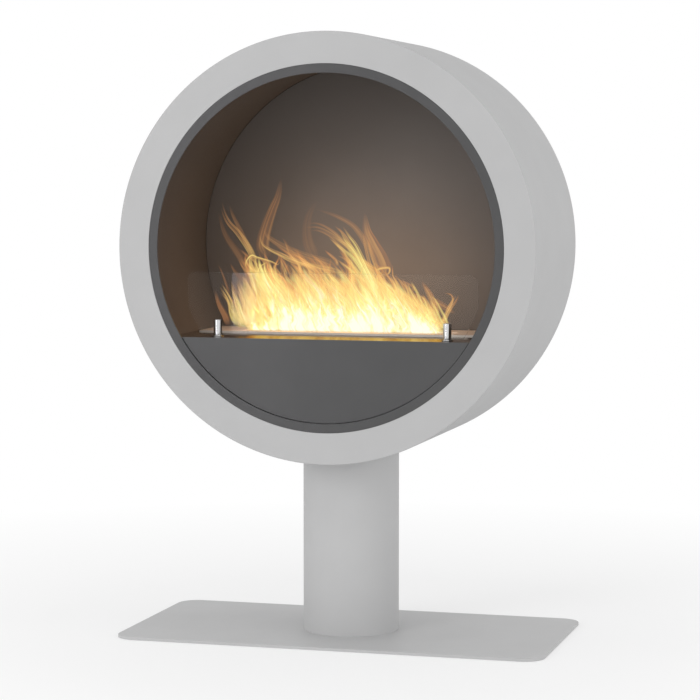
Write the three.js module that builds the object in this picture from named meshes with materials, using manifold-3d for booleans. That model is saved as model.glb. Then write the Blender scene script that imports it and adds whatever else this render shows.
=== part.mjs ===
// A free-standing round bioethanol fireplace: a double-walled steel drum on a tubular column.
// Millimetres, +Z up. The origin is on the floor under the middle of the base plate, the drum's
// axis runs along Y, and its open front faces -Y.

import * as THREE from 'three';
import { mergeVertices } from 'three/addons/utils/BufferGeometryUtils.js';
import Module from 'manifold-3d';

const wasm = await Module();
wasm.setup();

// ---------------------------------------------------------------------------------------------
// Driving dimensions
// ---------------------------------------------------------------------------------------------

// Clearances
const SEAT_GAP = 0.3; // between a seated piece and the curved or turned face that carries it
const RUN_GAP = 0.3; // round a piece that slides or lifts out
const HOLE_GAP = 0.25; // all round a screw's shank

// Stand
const PLATE_WIDTH = 675;
const PLATE_DEPTH = 337;
const PLATE_THICKNESS = 4;
const PLATE_CORNER_RADIUS = 32;
const COLUMN_DIAMETER = 150;
const COLUMN_WALL = 2;
const FLANGE_THICKNESS = 6;
const FLANGE_BORE = 60;
const FOOT_SCREW_INSET = 20; // from the tube's wall to the screw's axis
const SADDLE_THICKNESS = 5;
const SADDLE_BOLT_INSET = 16; // from the tube's wall to the bolt's axis
const WELD_NUT_HEIGHT = 6;

// Drum
const DRUM_RADIUS = 325;
const DRUM_DEPTH = 318;
const DRUM_AXIS_HEIGHT = 606;
const SHELL_WALL = 2;
const FACE_WIDTH = 48; // of the front ring, measured along a radius
const FACE_THICKNESS = 2;
const FACE_EDGE = 0.8; // bevel round the front ring's outer edge
const REAR_RING_WIDTH = 14; // of the ring in the shell's rear end that carries the cover
const REAR_RING_THICKNESS = 2;
const COVER_THICKNESS = 1.5;
const COVER_SCREW_COUNT = 8;
const BACKING_LENGTH = 190; // of the doubler plate over the column, round the drum
const BACKING_WIDTH = 170;
const BACKING_THICKNESS = 3;
const BACKING_CORNER_RADIUS = 15;

// Firebox
const LIP_WIDTH = 14;
const LIP_FLANGE_THICKNESS = 1.5;
const LIP_STUD_COUNT = 6;
const LINER_STEP = 14; // from the edge of the front ring's hole out to the liner
const LINER_WALL = 1.5;
const BACK_FLANGE = 7; // depth of the firebox back's edge, turned to the rear
const BACK_FLANGE_INSET = 3; // of the liner's rivets from its rear edge
const REAR_CAVITY = 11; // from the firebox back to the drum's rear edge
const BACK_RIVET_COUNT = 8;
const BRACKET_COUNT = 4;
const BRACKET_LENGTH = 120;
const BRACKET_FOOT = 20;
const BRACKET_SHEET = 2;

// Hearth deck and front panel
const DECK_DROP = 137; // from the drum's axis down to the deck's top
const DECK_THICKNESS = 2;
const DECK_FLANGE = 25; // the deck's front edge, turned down
const PANEL_RISE = 1; // of the panel's top edge over the deck
const PANEL_THICKNESS = 2;
const PANEL_RECESS = 2;
const PANEL_SEAM = 0.7; // round the panel's curved edge
const PANEL_STUD_SPACING = 120;
const PANEL_STUD_COUNT = 3;
const PANEL_BRACKET_WIDTH = 40;
const PANEL_BRACKET_HEIGHT = 50;
const PANEL_BRACKET_FOOT = 30;
const PANEL_LOWER_STUD_INSET = 8; // from the panel bracket's top down to its stud
const SUPPORT_SHEET = 2;
const SUPPORT_DROP = 25;
const SUPPORT_LEDGE = 11; // of a deck support inwards past its screws
const DECK_SCREW_INSET = 10; // from the surround's end to the screws under it
const SUPPORT_FRONT_GAP = 15; // from the glass posts' axis back to the deck supports
const SUPPORT_REAR_GAP = 8; // from the deck supports back to the firebox back

// Burner
const SURROUND_SETBACK = 115; // from the drum's front to the surround's front edge
const SURROUND_WIDTH = 110;
const SURROUND_END_GAP = 20.5; // from the liner to the surround's end
const SURROUND_HEIGHT = 4;
const SURROUND_SHEET = 1.2;
const SURROUND_CORNER_RADIUS = 2;
const TANK_END_INSET = 36;
const TANK_SIDE_INSET = 4;
const TANK_DEPTH = 60;
const TANK_WALL = 1.5;
const TANK_CORNER_RADIUS = 6;
const CUTOUT_GAP = 2; // between the tank and the deck's cut-out
const SLOT_END_INSET = 30; // from the tank's end to the slot's end
const SLOT_FRONT_INSET = 14; // from the surround's front edge to the slot
const SLOT_WIDTH = 44;
const SLOT_CORNER_RADIUS = 5;
const DAMPER_THICKNESS = 1.5;
const DAMPER_OVERLAP = 3.5; // past the slot's edges when it is closed
const DAMPER_SHOW = 6; // of the damper's front edge in the slot when it is open
const PULL_LENGTH = 40;
const PULL_HEIGHT = 6.5; // of the pull lip over the surround
const PULL_SHEET = 1.2;
const PULL_HOLE = 4; // diameter of the hook's hole
const RAIL_SHEET = 1.2;
const RAIL_LEDGE = 6;
const RAIL_FLANGE = 8;
const WOOL_DEPTH = 30;
const GRID_THICKNESS = 1;
const GRID_SLOT_COUNT = 14;
const GRID_SLOT_WIDTH = 12;
const GRID_RIM = 10;

// Glass screen
const POST_SETBACK = 45; // from the drum's front to the posts' axis
const POST_DIAMETER = 13;
const POST_HEIGHT = 26;
const POST_EDGE = 0.8; // bevel round the post's top
const POST_FLANGE_DIAMETER = 18;
const POST_FLANGE_THICKNESS = 1.2;
const POST_INSET = 25; // from the pane's lower corner to the post's axis
const GLASS_THICKNESS = 5;
const GLASS_HEIGHT = 96;
const GLASS_LIFT = 3; // of the pane's lower edge over the deck
const GLASS_RIM_GAP = 45; // from the liner in to the pane's round lower corners
const GLASS_SIDE_TRIM = 17; // from that round down to the pane's straight sides
const GLASS_CORNER_RADIUS = 12;
const REST_PAD_THICKNESS = 1;

// Fasteners: shank diameter, head or nut size across, head or nut height
const M8_SCREW = { shank: 8, head: 15, headHeight: 3.6 };
const M8_BOLT = { shank: 8, head: 13, headHeight: 5.3 };
const M5_NUT = { shank: 5, head: 8, headHeight: 4 };
const M4_SCREW = { shank: 4, head: 7.6, headHeight: 1.9 };
const COVER_SCREW = { shank: 4, head: 8, headHeight: 2.2 };
const RIVET_DIAMETER = 4;
const STUD_DIAMETER = 4;
const STUD_LENGTH = 8;
const SCREW_TAIL = 2; // of a shank past its nut or plate
const SCREW_RECESS = 0.1; // of a countersunk head behind its plate's face
const HEAD_EDGE = 0.2; // height of a countersunk head's straight rim

// Flats round the drum, the column, a glass post, and a screw or its hole
const DRUM_FLATS = 64;
const COLUMN_FLATS = 48;
const POST_FLATS = 20;
const SCREW_FLATS = 12;
const PANEL_EDGE_FLATS = 36; // along the front panel's round edge

// ---------------------------------------------------------------------------------------------
// Places worked out from them, seen from the drum's axis
// ---------------------------------------------------------------------------------------------

// Height of a circle's edge over or under its middle, at a distance to the side.
const reach = (radius, aside) => Math.sqrt(radius * radius - aside * aside);

const frontY = -DRUM_DEPTH / 2;
const rearY = DRUM_DEPTH / 2;
const faceBackY = frontY + FACE_THICKNESS;
const shellInner = DRUM_RADIUS - SHELL_WALL;
const holeRadius = DRUM_RADIUS - FACE_WIDTH;
const coverFrontY = rearY - COVER_THICKNESS;
const rearRingY = coverFrontY - REAR_RING_THICKNESS;

const columnInner = COLUMN_DIAMETER / 2 - COLUMN_WALL;

const lipInner = holeRadius - LIP_WIDTH;
const linerInner = holeRadius + LINER_STEP;
const linerOuter = linerInner + LINER_WALL;
const lipFlangeOuter = linerInner - 2 * SEAT_GAP;
const lipBackY = faceBackY + LIP_FLANGE_THICKNESS;
const lipStudRadius = (holeRadius + lipFlangeOuter) / 2;
const fireboxBackY = rearY - REAR_CAVITY;
const linerRearY = fireboxBackY + BACK_FLANGE;
const backRivetY = linerRearY - BACK_FLANGE_INSET;
const backOuter = linerInner - SEAT_GAP;

const deckZ = -DECK_DROP;
const deckUnderZ = deckZ - DECK_THICKNESS;
const panelTopZ = deckZ + PANEL_RISE;
const panelFrontY = frontY + PANEL_RECESS;
const panelBackY = panelFrontY + PANEL_THICKNESS;
const panelRadius = lipInner - PANEL_SEAM;
const deckFrontY = Math.max(panelBackY, lipBackY + 2 * SEAT_GAP);
const deckRearY = fireboxBackY - 2 * SEAT_GAP;
const deckHalf = reach(linerInner, deckUnderZ) - 2 * SEAT_GAP;
const flangeFootZ = deckUnderZ - DECK_FLANGE;
const flangeBackY = deckFrontY + DECK_THICKNESS;
const panelStudZ = (deckUnderZ + flangeFootZ) / 2;

const surroundHalf = reach(linerInner, deckZ) - SURROUND_END_GAP;
const surroundFrontY = frontY + SURROUND_SETBACK;
const surroundRearY = surroundFrontY + SURROUND_WIDTH;
const surroundTopZ = deckZ + SURROUND_HEIGHT;
const surroundUnderZ = surroundTopZ - SURROUND_SHEET;
const tankHalf = surroundHalf - TANK_END_INSET;
const tankFrontY = surroundFrontY + TANK_SIDE_INSET;
const tankRearY = surroundRearY - TANK_SIDE_INSET;
const tankFloorZ = surroundUnderZ - TANK_DEPTH;
const slotHalf = tankHalf - SLOT_END_INSET;
const slotFrontY = surroundFrontY + SLOT_FRONT_INSET;
const slotRearY = slotFrontY + SLOT_WIDTH;
const damperHalf = slotHalf + DAMPER_OVERLAP;
const damperWidth = SLOT_WIDTH + 2 * DAMPER_OVERLAP;
const damperFrontY = slotRearY - DAMPER_SHOW; // where it lies with the slot open
const damperTopZ = surroundUnderZ - RUN_GAP;
const damperUnderZ = damperTopZ - DAMPER_THICKNESS;
const railLedgeZ = damperUnderZ - RUN_GAP;
const railFootZ = railLedgeZ - RAIL_SHEET;
const railWebX = damperHalf + RUN_GAP;
const woolFootZ = tankFloorZ + TANK_WALL;
const woolTopZ = woolFootZ + WOOL_DEPTH;

const deckScrewX = surroundHalf - DECK_SCREW_INSET;
const supportInnerX = deckScrewX - SUPPORT_LEDGE;

const postY = frontY + POST_SETBACK;
const glassFootZ = deckZ + GLASS_LIFT;
const glassTopZ = glassFootZ + GLASS_HEIGHT;
const glassRound = linerInner - GLASS_RIM_GAP;
const glassHalf = glassRound - GLASS_SIDE_TRIM;
const glassFootHalf = reach(glassRound, glassFootZ);
const postX = glassFootHalf - POST_INSET;
const postTopZ = deckZ + POST_HEIGHT;
const postSlotZ = glassFootZ - RUN_GAP - REST_PAD_THICKNESS;

// ---------------------------------------------------------------------------------------------
// Geometry helpers
// ---------------------------------------------------------------------------------------------

// Turns +Y into +Z and +Z into -Y exactly, so that flat faces keep their even numbers.
const STAND_UP = new THREE.Matrix4().set(1, 0, 0, 0, 0, 0, -1, 0, 0, 1, 0, 0, 0, 0, 0, 1);

// A closed geometry as a solid that can be joined and cut.
function solid(geometry) {
  const bare = geometry.clone();
  bare.deleteAttribute('normal');
  bare.deleteAttribute('uv');
  const merged = mergeVertices(bare, 1e-4);
  const corners = merged.index.array;
  const triangles = [];
  for (let i = 0; i < corners.length; i += 3) {
    const [a, b, c] = [corners[i], corners[i + 1], corners[i + 2]];
    if (a !== b && b !== c && c !== a) triangles.push(a, b, c);
  }
  return new wasm.Manifold(new wasm.Mesh({
    numProp: 3,
    vertProperties: new Float32Array(merged.attributes.position.array),
    triVerts: new Uint32Array(triangles),
  }));
}

// A solid back as a geometry.
function geometryOf(body) {
  const mesh = body.getMesh();
  const geometry = new THREE.BufferGeometry();
  geometry.setAttribute('position', new THREE.BufferAttribute(mesh.vertProperties, 3));
  geometry.setIndex(new THREE.BufferAttribute(mesh.triVerts, 1));
  geometry.computeVertexNormals();
  return geometry;
}

const join = (bodies) => bodies.reduce((sum, body) => sum.add(body));
const cut = (body, tools) => tools.reduce((rest, tool) => rest.subtract(tool), body);

// A box between two corners.
function block([x0, y0, z0], [x1, y1, z1]) {
  const geometry = new THREE.BoxGeometry(x1 - x0, y1 - y0, z1 - z0);
  return solid(geometry.translate((x0 + x1) / 2, (y0 + y1) / 2, (z0 + z1) / 2));
}

// A profile of [radius, height] points turned round Y; it closes on itself or on the axis.
function turn(profile, segments = DRUM_FLATS) {
  const closed = profile[0][0] === 0 ? profile : [...profile, profile[0]];
  const area = closed.reduce((sum, [r, y], i) => {
    const [s, z] = closed[(i + 1) % closed.length];
    return sum + r * z - s * y;
  }, 0);
  const points = closed.map(([r, y]) => new THREE.Vector2(r, y));
  if (area < 0) points.reverse();
  return new THREE.LatheGeometry(points, segments);
}

// The same, round Z.
const turnUp = (profile, segments = SCREW_FLATS) => turn(profile, segments).applyMatrix4(STAND_UP);

// A round bar along Y or Z.
const barY = (radius, x, z, y0, y1, segments = SCREW_FLATS) =>
  solid(turn([[0, y0], [radius, y0], [radius, y1], [0, y1]], segments).translate(x, 0, z));
const barZ = (radius, x, y, z0, z1, segments = SCREW_FLATS) =>
  solid(turnUp([[0, z0], [radius, z0], [radius, z1], [0, z1]], segments).translate(x, y, 0));

// A flat outline in X and Y, thickened upwards from z0 to z1.
function plate(shape, z0, z1, curveSegments = 8) {
  const options = { depth: z1 - z0, bevelEnabled: false, steps: 1, curveSegments };
  return solid(new THREE.ExtrudeGeometry(shape, options).translate(0, 0, z0));
}

// A flat outline in X and Z, thickened from y0 back to y1.
function uprightPlate(shape, y0, y1, curveSegments = 8) {
  const options = { depth: y1 - y0, bevelEnabled: false, steps: 1, curveSegments };
  const geometry = new THREE.ExtrudeGeometry(shape, options);
  return solid(geometry.applyMatrix4(STAND_UP).translate(0, y1, 0));
}

function outline(points) {
  return new THREE.Shape(points.map(([x, y]) => new THREE.Vector2(x, y)));
}

// A rectangle between two corners, with round corners.
function roundedRectangle(x0, y0, x1, y1, radius) {
  const shape = new THREE.Shape();
  shape.absarc(x1 - radius, y0 + radius, radius, -Math.PI / 2, 0, false);
  shape.absarc(x1 - radius, y1 - radius, radius, 0, Math.PI / 2, false);
  shape.absarc(x0 + radius, y1 - radius, radius, Math.PI / 2, Math.PI, false);
  shape.absarc(x0 + radius, y0 + radius, radius, Math.PI, 1.5 * Math.PI, false);
  shape.closePath();
  return shape;
}

// Points evenly round the drum's axis, the first half a step from the top.
function roundTheDrum(count, radius) {
  return Array.from({ length: count }, (_, i) => {
    const angle = ((i + 0.5) * 2 * Math.PI) / count;
    return [radius * Math.sin(angle), radius * Math.cos(angle)];
  });
}

// A countersunk screw standing on its head at z = 0, with a margin to make its hole.
function countersunk({ shank, head, headHeight }, length, margin = 0) {
  const shankRadius = shank / 2 + margin;
  const headRadius = head / 2 + margin;
  const foot = margin > 0 ? -1 : 0;
  const top = margin > 0 ? length + 1 : length;
  return turnUp([[0, foot], [headRadius, foot], [headRadius, HEAD_EDGE], [shankRadius, headHeight],
    [shankRadius, top], [0, top]]);
}

// A hexagonal prism on Z between two heights, with an optional round bore.
function hexagon(across, z0, z1, bore = 0) {
  const corner = across / 2 / Math.cos(Math.PI / 6);
  const prism = solid(turnUp([[0, z0], [corner, z0], [corner, z1], [0, z1]], 6));
  return bore > 0 ? prism.subtract(barZ(bore / 2, 0, 0, z0 - 1, z1 + 1)) : prism;
}

// A domed screw along Y whose head sits behind y = headY and whose shank runs forward.
function buttonY({ shank, head, headHeight }, x, z, headY, length) {
  const profile = [[0, headY - length], [shank / 2, headY - length], [shank / 2, headY], [head / 2, headY],
    [head / 3, headY + headHeight], [0, headY + headHeight]];
  return solid(turn(profile, SCREW_FLATS).translate(x, 0, z));
}

// Moves a geometry built under the drum's lowest line round the drum by an angle.
const roundBy = (geometry, angle, y) => geometry.translate(0, y, 0).rotateY(-angle);

// ---------------------------------------------------------------------------------------------
// Materials
// ---------------------------------------------------------------------------------------------

const finish = (color, roughness, metalness) =>
  new THREE.MeshStandardMaterial({ color, roughness, metalness });
const FINISH = {
  powderCoat: finish(0xb9b9b9, 0.6, 0.1),
  graphite: finish(0x5e5f60, 0.65, 0.2),
  stainless: finish(0xb4b0a8, 0.25, 1),
  zinc: finish(0xa4a6a8, 0.4, 1),
  glass: finish(0xbfc8c8, 0.05, 0),
  wool: finish(0xe8e4da, 0.95, 0),
  silicone: finish(0xd6d6d2, 0.5, 0),
};

function named(name, body, material) {
  const mesh = new THREE.Mesh(body.isBufferGeometry ? body : geometryOf(body), material);
  mesh.name = name;
  return mesh;
}

// ---------------------------------------------------------------------------------------------
// Stand
// ---------------------------------------------------------------------------------------------

// Four places on a square round the column's axis.
function columnCorners(ring) {
  const side = ring * Math.SQRT1_2;
  return [[side, side], [-side, side], [-side, -side], [side, -side]];
}

function makeStand() {
  const stand = new THREE.Group();
  const footCorners = columnCorners(columnInner - FOOT_SCREW_INSET);
  const flangeTopZ = PLATE_THICKNESS + FLANGE_THICKNESS;
  const footScrewLength = flangeTopZ + SCREW_TAIL;

  const sheet = plate(
    roundedRectangle(-PLATE_WIDTH / 2, -PLATE_DEPTH / 2, PLATE_WIDTH / 2, PLATE_DEPTH / 2,
      PLATE_CORNER_RADIUS), 0, PLATE_THICKNESS, 10);
  const screwHole = ([x, y]) =>
    solid(countersunk(M8_SCREW, footScrewLength, HOLE_GAP).translate(x, y, 0));
  stand.add(named('base_plate', cut(sheet, footCorners.map(screwHole)), FINISH.powderCoat));

  footCorners.forEach(([x, y], i) => {
    const screw = solid(countersunk(M8_SCREW, footScrewLength).translate(x, y, SCREW_RECESS));
    stand.add(named(`foot_screw_${i + 1}`, screw, FINISH.zinc));
  });

  const flange = turnUp([[FLANGE_BORE / 2, PLATE_THICKNESS], [columnInner - SEAT_GAP, PLATE_THICKNESS],
    [columnInner - SEAT_GAP, flangeTopZ], [FLANGE_BORE / 2, flangeTopZ]], COLUMN_FLATS);
  const flangeHoles = footCorners.map(([x, y]) =>
    barZ(M8_SCREW.shank / 2 + HOLE_GAP, x, y, PLATE_THICKNESS - 1, flangeTopZ + 1));
  stand.add(named('foot_flange', cut(solid(flange), flangeHoles), FINISH.powderCoat));

  // The tube is coped to the drum's round underside.
  const tube = turnUp([[columnInner, PLATE_THICKNESS], [COLUMN_DIAMETER / 2, PLATE_THICKNESS],
    [COLUMN_DIAMETER / 2, DRUM_AXIS_HEIGHT], [columnInner, DRUM_AXIS_HEIGHT]], COLUMN_FLATS);
  const drumSpace = barY(DRUM_RADIUS + SEAT_GAP, 0, DRUM_AXIS_HEIGHT, frontY, rearY, DRUM_FLATS);
  stand.add(named('column_tube', solid(tube).subtract(drumSpace), FINISH.powderCoat));
  return stand;
}

// The bolts that hold the drum on the column, square to its round wall.
function saddleBoltPlaces() {
  return columnCorners(columnInner - SADDLE_BOLT_INSET).map(([x, y]) => [Math.asin(x / DRUM_RADIUS), y]);
}

function makeSaddle() {
  const saddle = new THREE.Group();
  const places = saddleBoltPlaces();
  const saddleInner = DRUM_RADIUS + SEAT_GAP;
  const saddleOuter = saddleInner + SADDLE_THICKNESS;
  const backingOuter = shellInner - SEAT_GAP;
  const backingInner = backingOuter - BACKING_THICKNESS;
  const boltHoleRadius = M8_BOLT.shank / 2 + HOLE_GAP;
  const holeFootZ = -saddleOuter - WELD_NUT_HEIGHT - SCREW_TAIL;
  const holeTopZ = -backingInner + M8_BOLT.headHeight;
  const boltHole = ([angle, y]) => {
    const profile = [[0, holeFootZ], [boltHoleRadius, holeFootZ], [boltHoleRadius, holeTopZ], [0, holeTopZ]];
    return solid(roundBy(turnUp(profile), angle, y));
  };
  const holes = places.map(boltHole);

  const band = (inner, outer, halfWidth) =>
    solid(turn([[inner, -halfWidth], [outer, -halfWidth], [outer, halfWidth], [inner, halfWidth]]));
  const plug = barZ(columnInner - SEAT_GAP, 0, 0, -saddleOuter - 1, 0, COLUMN_FLATS);
  const weldNut = ([angle, y]) => {
    const nutTopZ = -saddleInner - SADDLE_THICKNESS / 2;
    const prism = hexagon(M8_BOLT.head, -saddleOuter - WELD_NUT_HEIGHT, nutTopZ);
    return solid(roundBy(geometryOf(prism), angle, y));
  };
  const saddlePlate = band(saddleInner, saddleOuter, columnInner).intersect(plug);
  const nuttedPlate = join([saddlePlate, ...places.map(weldNut)]);
  saddle.add(named('column_saddle', cut(nuttedPlate, holes), FINISH.powderCoat));

  const patch = plate(
    roundedRectangle(-BACKING_LENGTH / 2, -BACKING_WIDTH / 2, BACKING_LENGTH / 2, BACKING_WIDTH / 2,
      BACKING_CORNER_RADIUS), -DRUM_RADIUS, 0, 4);
  const doubler = band(backingInner, backingOuter, BACKING_WIDTH).intersect(patch);
  saddle.add(named('drum_doubler', cut(doubler, holes), FINISH.zinc));

  const headZ = -backingInner * Math.cos(Math.PI / DRUM_FLATS) + SEAT_GAP;
  const shank = barZ(M8_BOLT.shank / 2, 0, 0, -saddleOuter - WELD_NUT_HEIGHT - SCREW_TAIL, headZ);
  const bolt = shank.add(hexagon(M8_BOLT.head, headZ, headZ + M8_BOLT.headHeight));
  places.forEach(([angle, y], i) => {
    saddle.add(named(`saddle_bolt_${i + 1}`, roundBy(geometryOf(bolt), angle, y), FINISH.zinc));
  });
  return { saddle, holes };
}

// ---------------------------------------------------------------------------------------------
// Drum casing
// ---------------------------------------------------------------------------------------------

function makeCasing(saddleHoles) {
  const casing = new THREE.Group();
  const shell = turn([[DRUM_RADIUS, faceBackY], [DRUM_RADIUS, rearY], [shellInner, rearY],
    [shellInner, faceBackY]]);
  casing.add(named('drum_shell', cut(solid(shell), saddleHoles), FINISH.powderCoat));

  const studs = roundTheDrum(LIP_STUD_COUNT, lipStudRadius).map(([x, z]) =>
    barY(STUD_DIAMETER / 2, x, z, faceBackY - FACE_THICKNESS / 2, faceBackY + STUD_LENGTH));
  const face = turn([[holeRadius, frontY], [DRUM_RADIUS - FACE_EDGE, frontY],
    [DRUM_RADIUS, frontY + FACE_EDGE], [DRUM_RADIUS, faceBackY], [holeRadius, faceBackY]]);
  casing.add(named('front_ring', join([solid(face), ...studs]), FINISH.powderCoat));

  // The rear cover lies on a ring inside the shell and is screwed to it.
  const ringOuter = shellInner - SEAT_GAP;
  const ringInner = shellInner - REAR_RING_WIDTH;
  const coverScrewPlaces = roundTheDrum(COVER_SCREW_COUNT, (ringInner + ringOuter) / 2);
  const coverScrewHoles = coverScrewPlaces.map(([x, z]) =>
    barY(COVER_SCREW.shank / 2 + HOLE_GAP, x, z, rearRingY - 1, rearY + 1));
  const ring = turn([[ringInner, rearRingY], [ringOuter, rearRingY], [ringOuter, coverFrontY],
    [ringInner, coverFrontY]]);
  casing.add(named('rear_ring', cut(solid(ring), coverScrewHoles), FINISH.powderCoat));
  const cover = barY(ringOuter - SEAT_GAP, 0, 0, coverFrontY, rearY, DRUM_FLATS);
  casing.add(named('rear_cover', cut(cover, coverScrewHoles), FINISH.powderCoat));

  coverScrewPlaces.forEach(([x, z], i) => {
    const screw = buttonY(COVER_SCREW, x, z, rearY, COVER_THICKNESS + REAR_RING_THICKNESS + SCREW_TAIL);
    casing.add(named(`cover_screw_${i + 1}`, screw, FINISH.zinc));
  });
  return casing;
}

// ---------------------------------------------------------------------------------------------
// Firebox
// ---------------------------------------------------------------------------------------------

function makeFirebox() {
  const firebox = new THREE.Group();

  // The lip shows as a dark ring in the front, and its rear flange lies behind the front ring.
  const lipFront = holeRadius - SEAT_GAP;
  const lip = turn([[lipInner, frontY], [lipFront, frontY], [lipFront, faceBackY],
    [lipFlangeOuter, faceBackY], [lipFlangeOuter, lipBackY], [lipInner, lipBackY]]);
  const lipHoles = roundTheDrum(LIP_STUD_COUNT, lipStudRadius).map(([x, z]) =>
    barY(STUD_DIAMETER / 2 + HOLE_GAP, x, z, faceBackY - 1, lipBackY + 1));
  firebox.add(named('lip_ring', cut(solid(lip), lipHoles), FINISH.graphite));

  // The back's edge is turned to the rear inside the liner and riveted to it.
  const rivetHoleRadius = RIVET_DIAMETER / 2 + HOLE_GAP;
  const rivetHoles = Array.from({ length: BACK_RIVET_COUNT }, (_, i) => {
    const hole = turnUp([[0, backOuter - LINER_WALL - 1], [rivetHoleRadius, backOuter - LINER_WALL - 1],
      [rivetHoleRadius, linerOuter + 1], [0, linerOuter + 1]]);
    return solid(hole.translate(0, backRivetY, 0).rotateY(((i + 0.5) * 2 * Math.PI) / BACK_RIVET_COUNT));
  });
  const liner = turn([[linerInner, faceBackY], [linerOuter, faceBackY], [linerOuter, linerRearY],
    [linerInner, linerRearY]]);
  firebox.add(named('firebox_liner', cut(solid(liner), rivetHoles), FINISH.graphite));
  const back = turn([[0, fireboxBackY], [backOuter, fireboxBackY], [backOuter, linerRearY],
    [backOuter - LINER_WALL, linerRearY], [backOuter - LINER_WALL, fireboxBackY + LINER_WALL],
    [0, fireboxBackY + LINER_WALL]]);
  firebox.add(named('firebox_back', cut(solid(back), rivetHoles), FINISH.graphite));

  // Z-shaped brackets hold the liner in the middle of the shell.
  const footZ = linerOuter + SEAT_GAP;
  const headZ = reach(shellInner * Math.cos(Math.PI / DRUM_FLATS), BRACKET_FOOT) - SEAT_GAP;
  const half = BRACKET_SHEET / 2;
  const section = outline([[-BRACKET_FOOT, footZ], [half, footZ], [half, headZ - BRACKET_SHEET],
    [BRACKET_FOOT, headZ - BRACKET_SHEET], [BRACKET_FOOT, headZ], [-half, headZ],
    [-half, footZ + BRACKET_SHEET], [-BRACKET_FOOT, footZ + BRACKET_SHEET]]);
  for (let i = 0; i < BRACKET_COUNT; i += 1) {
    const bracket = geometryOf(uprightPlate(section, -BRACKET_LENGTH / 2, BRACKET_LENGTH / 2));
    bracket.rotateY(((i + 0.5) * 2 * Math.PI) / BRACKET_COUNT);
    firebox.add(named(`liner_bracket_${i + 1}`, bracket, FINISH.zinc));
  }
  return firebox;
}

// ---------------------------------------------------------------------------------------------
// Hearth deck and front panel
// ---------------------------------------------------------------------------------------------

function deckScrewPlaces() {
  const ys = [surroundFrontY + SURROUND_WIDTH / 4, surroundRearY - SURROUND_WIDTH / 4];
  return [-deckScrewX, deckScrewX].flatMap((x) => ys.map((y) => [x, y]));
}

function panelStudPlaces() {
  const middle = (PANEL_STUD_COUNT - 1) / 2;
  return Array.from({ length: PANEL_STUD_COUNT }, (_, i) => [(i - middle) * PANEL_STUD_SPACING, panelStudZ]);
}

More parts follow.
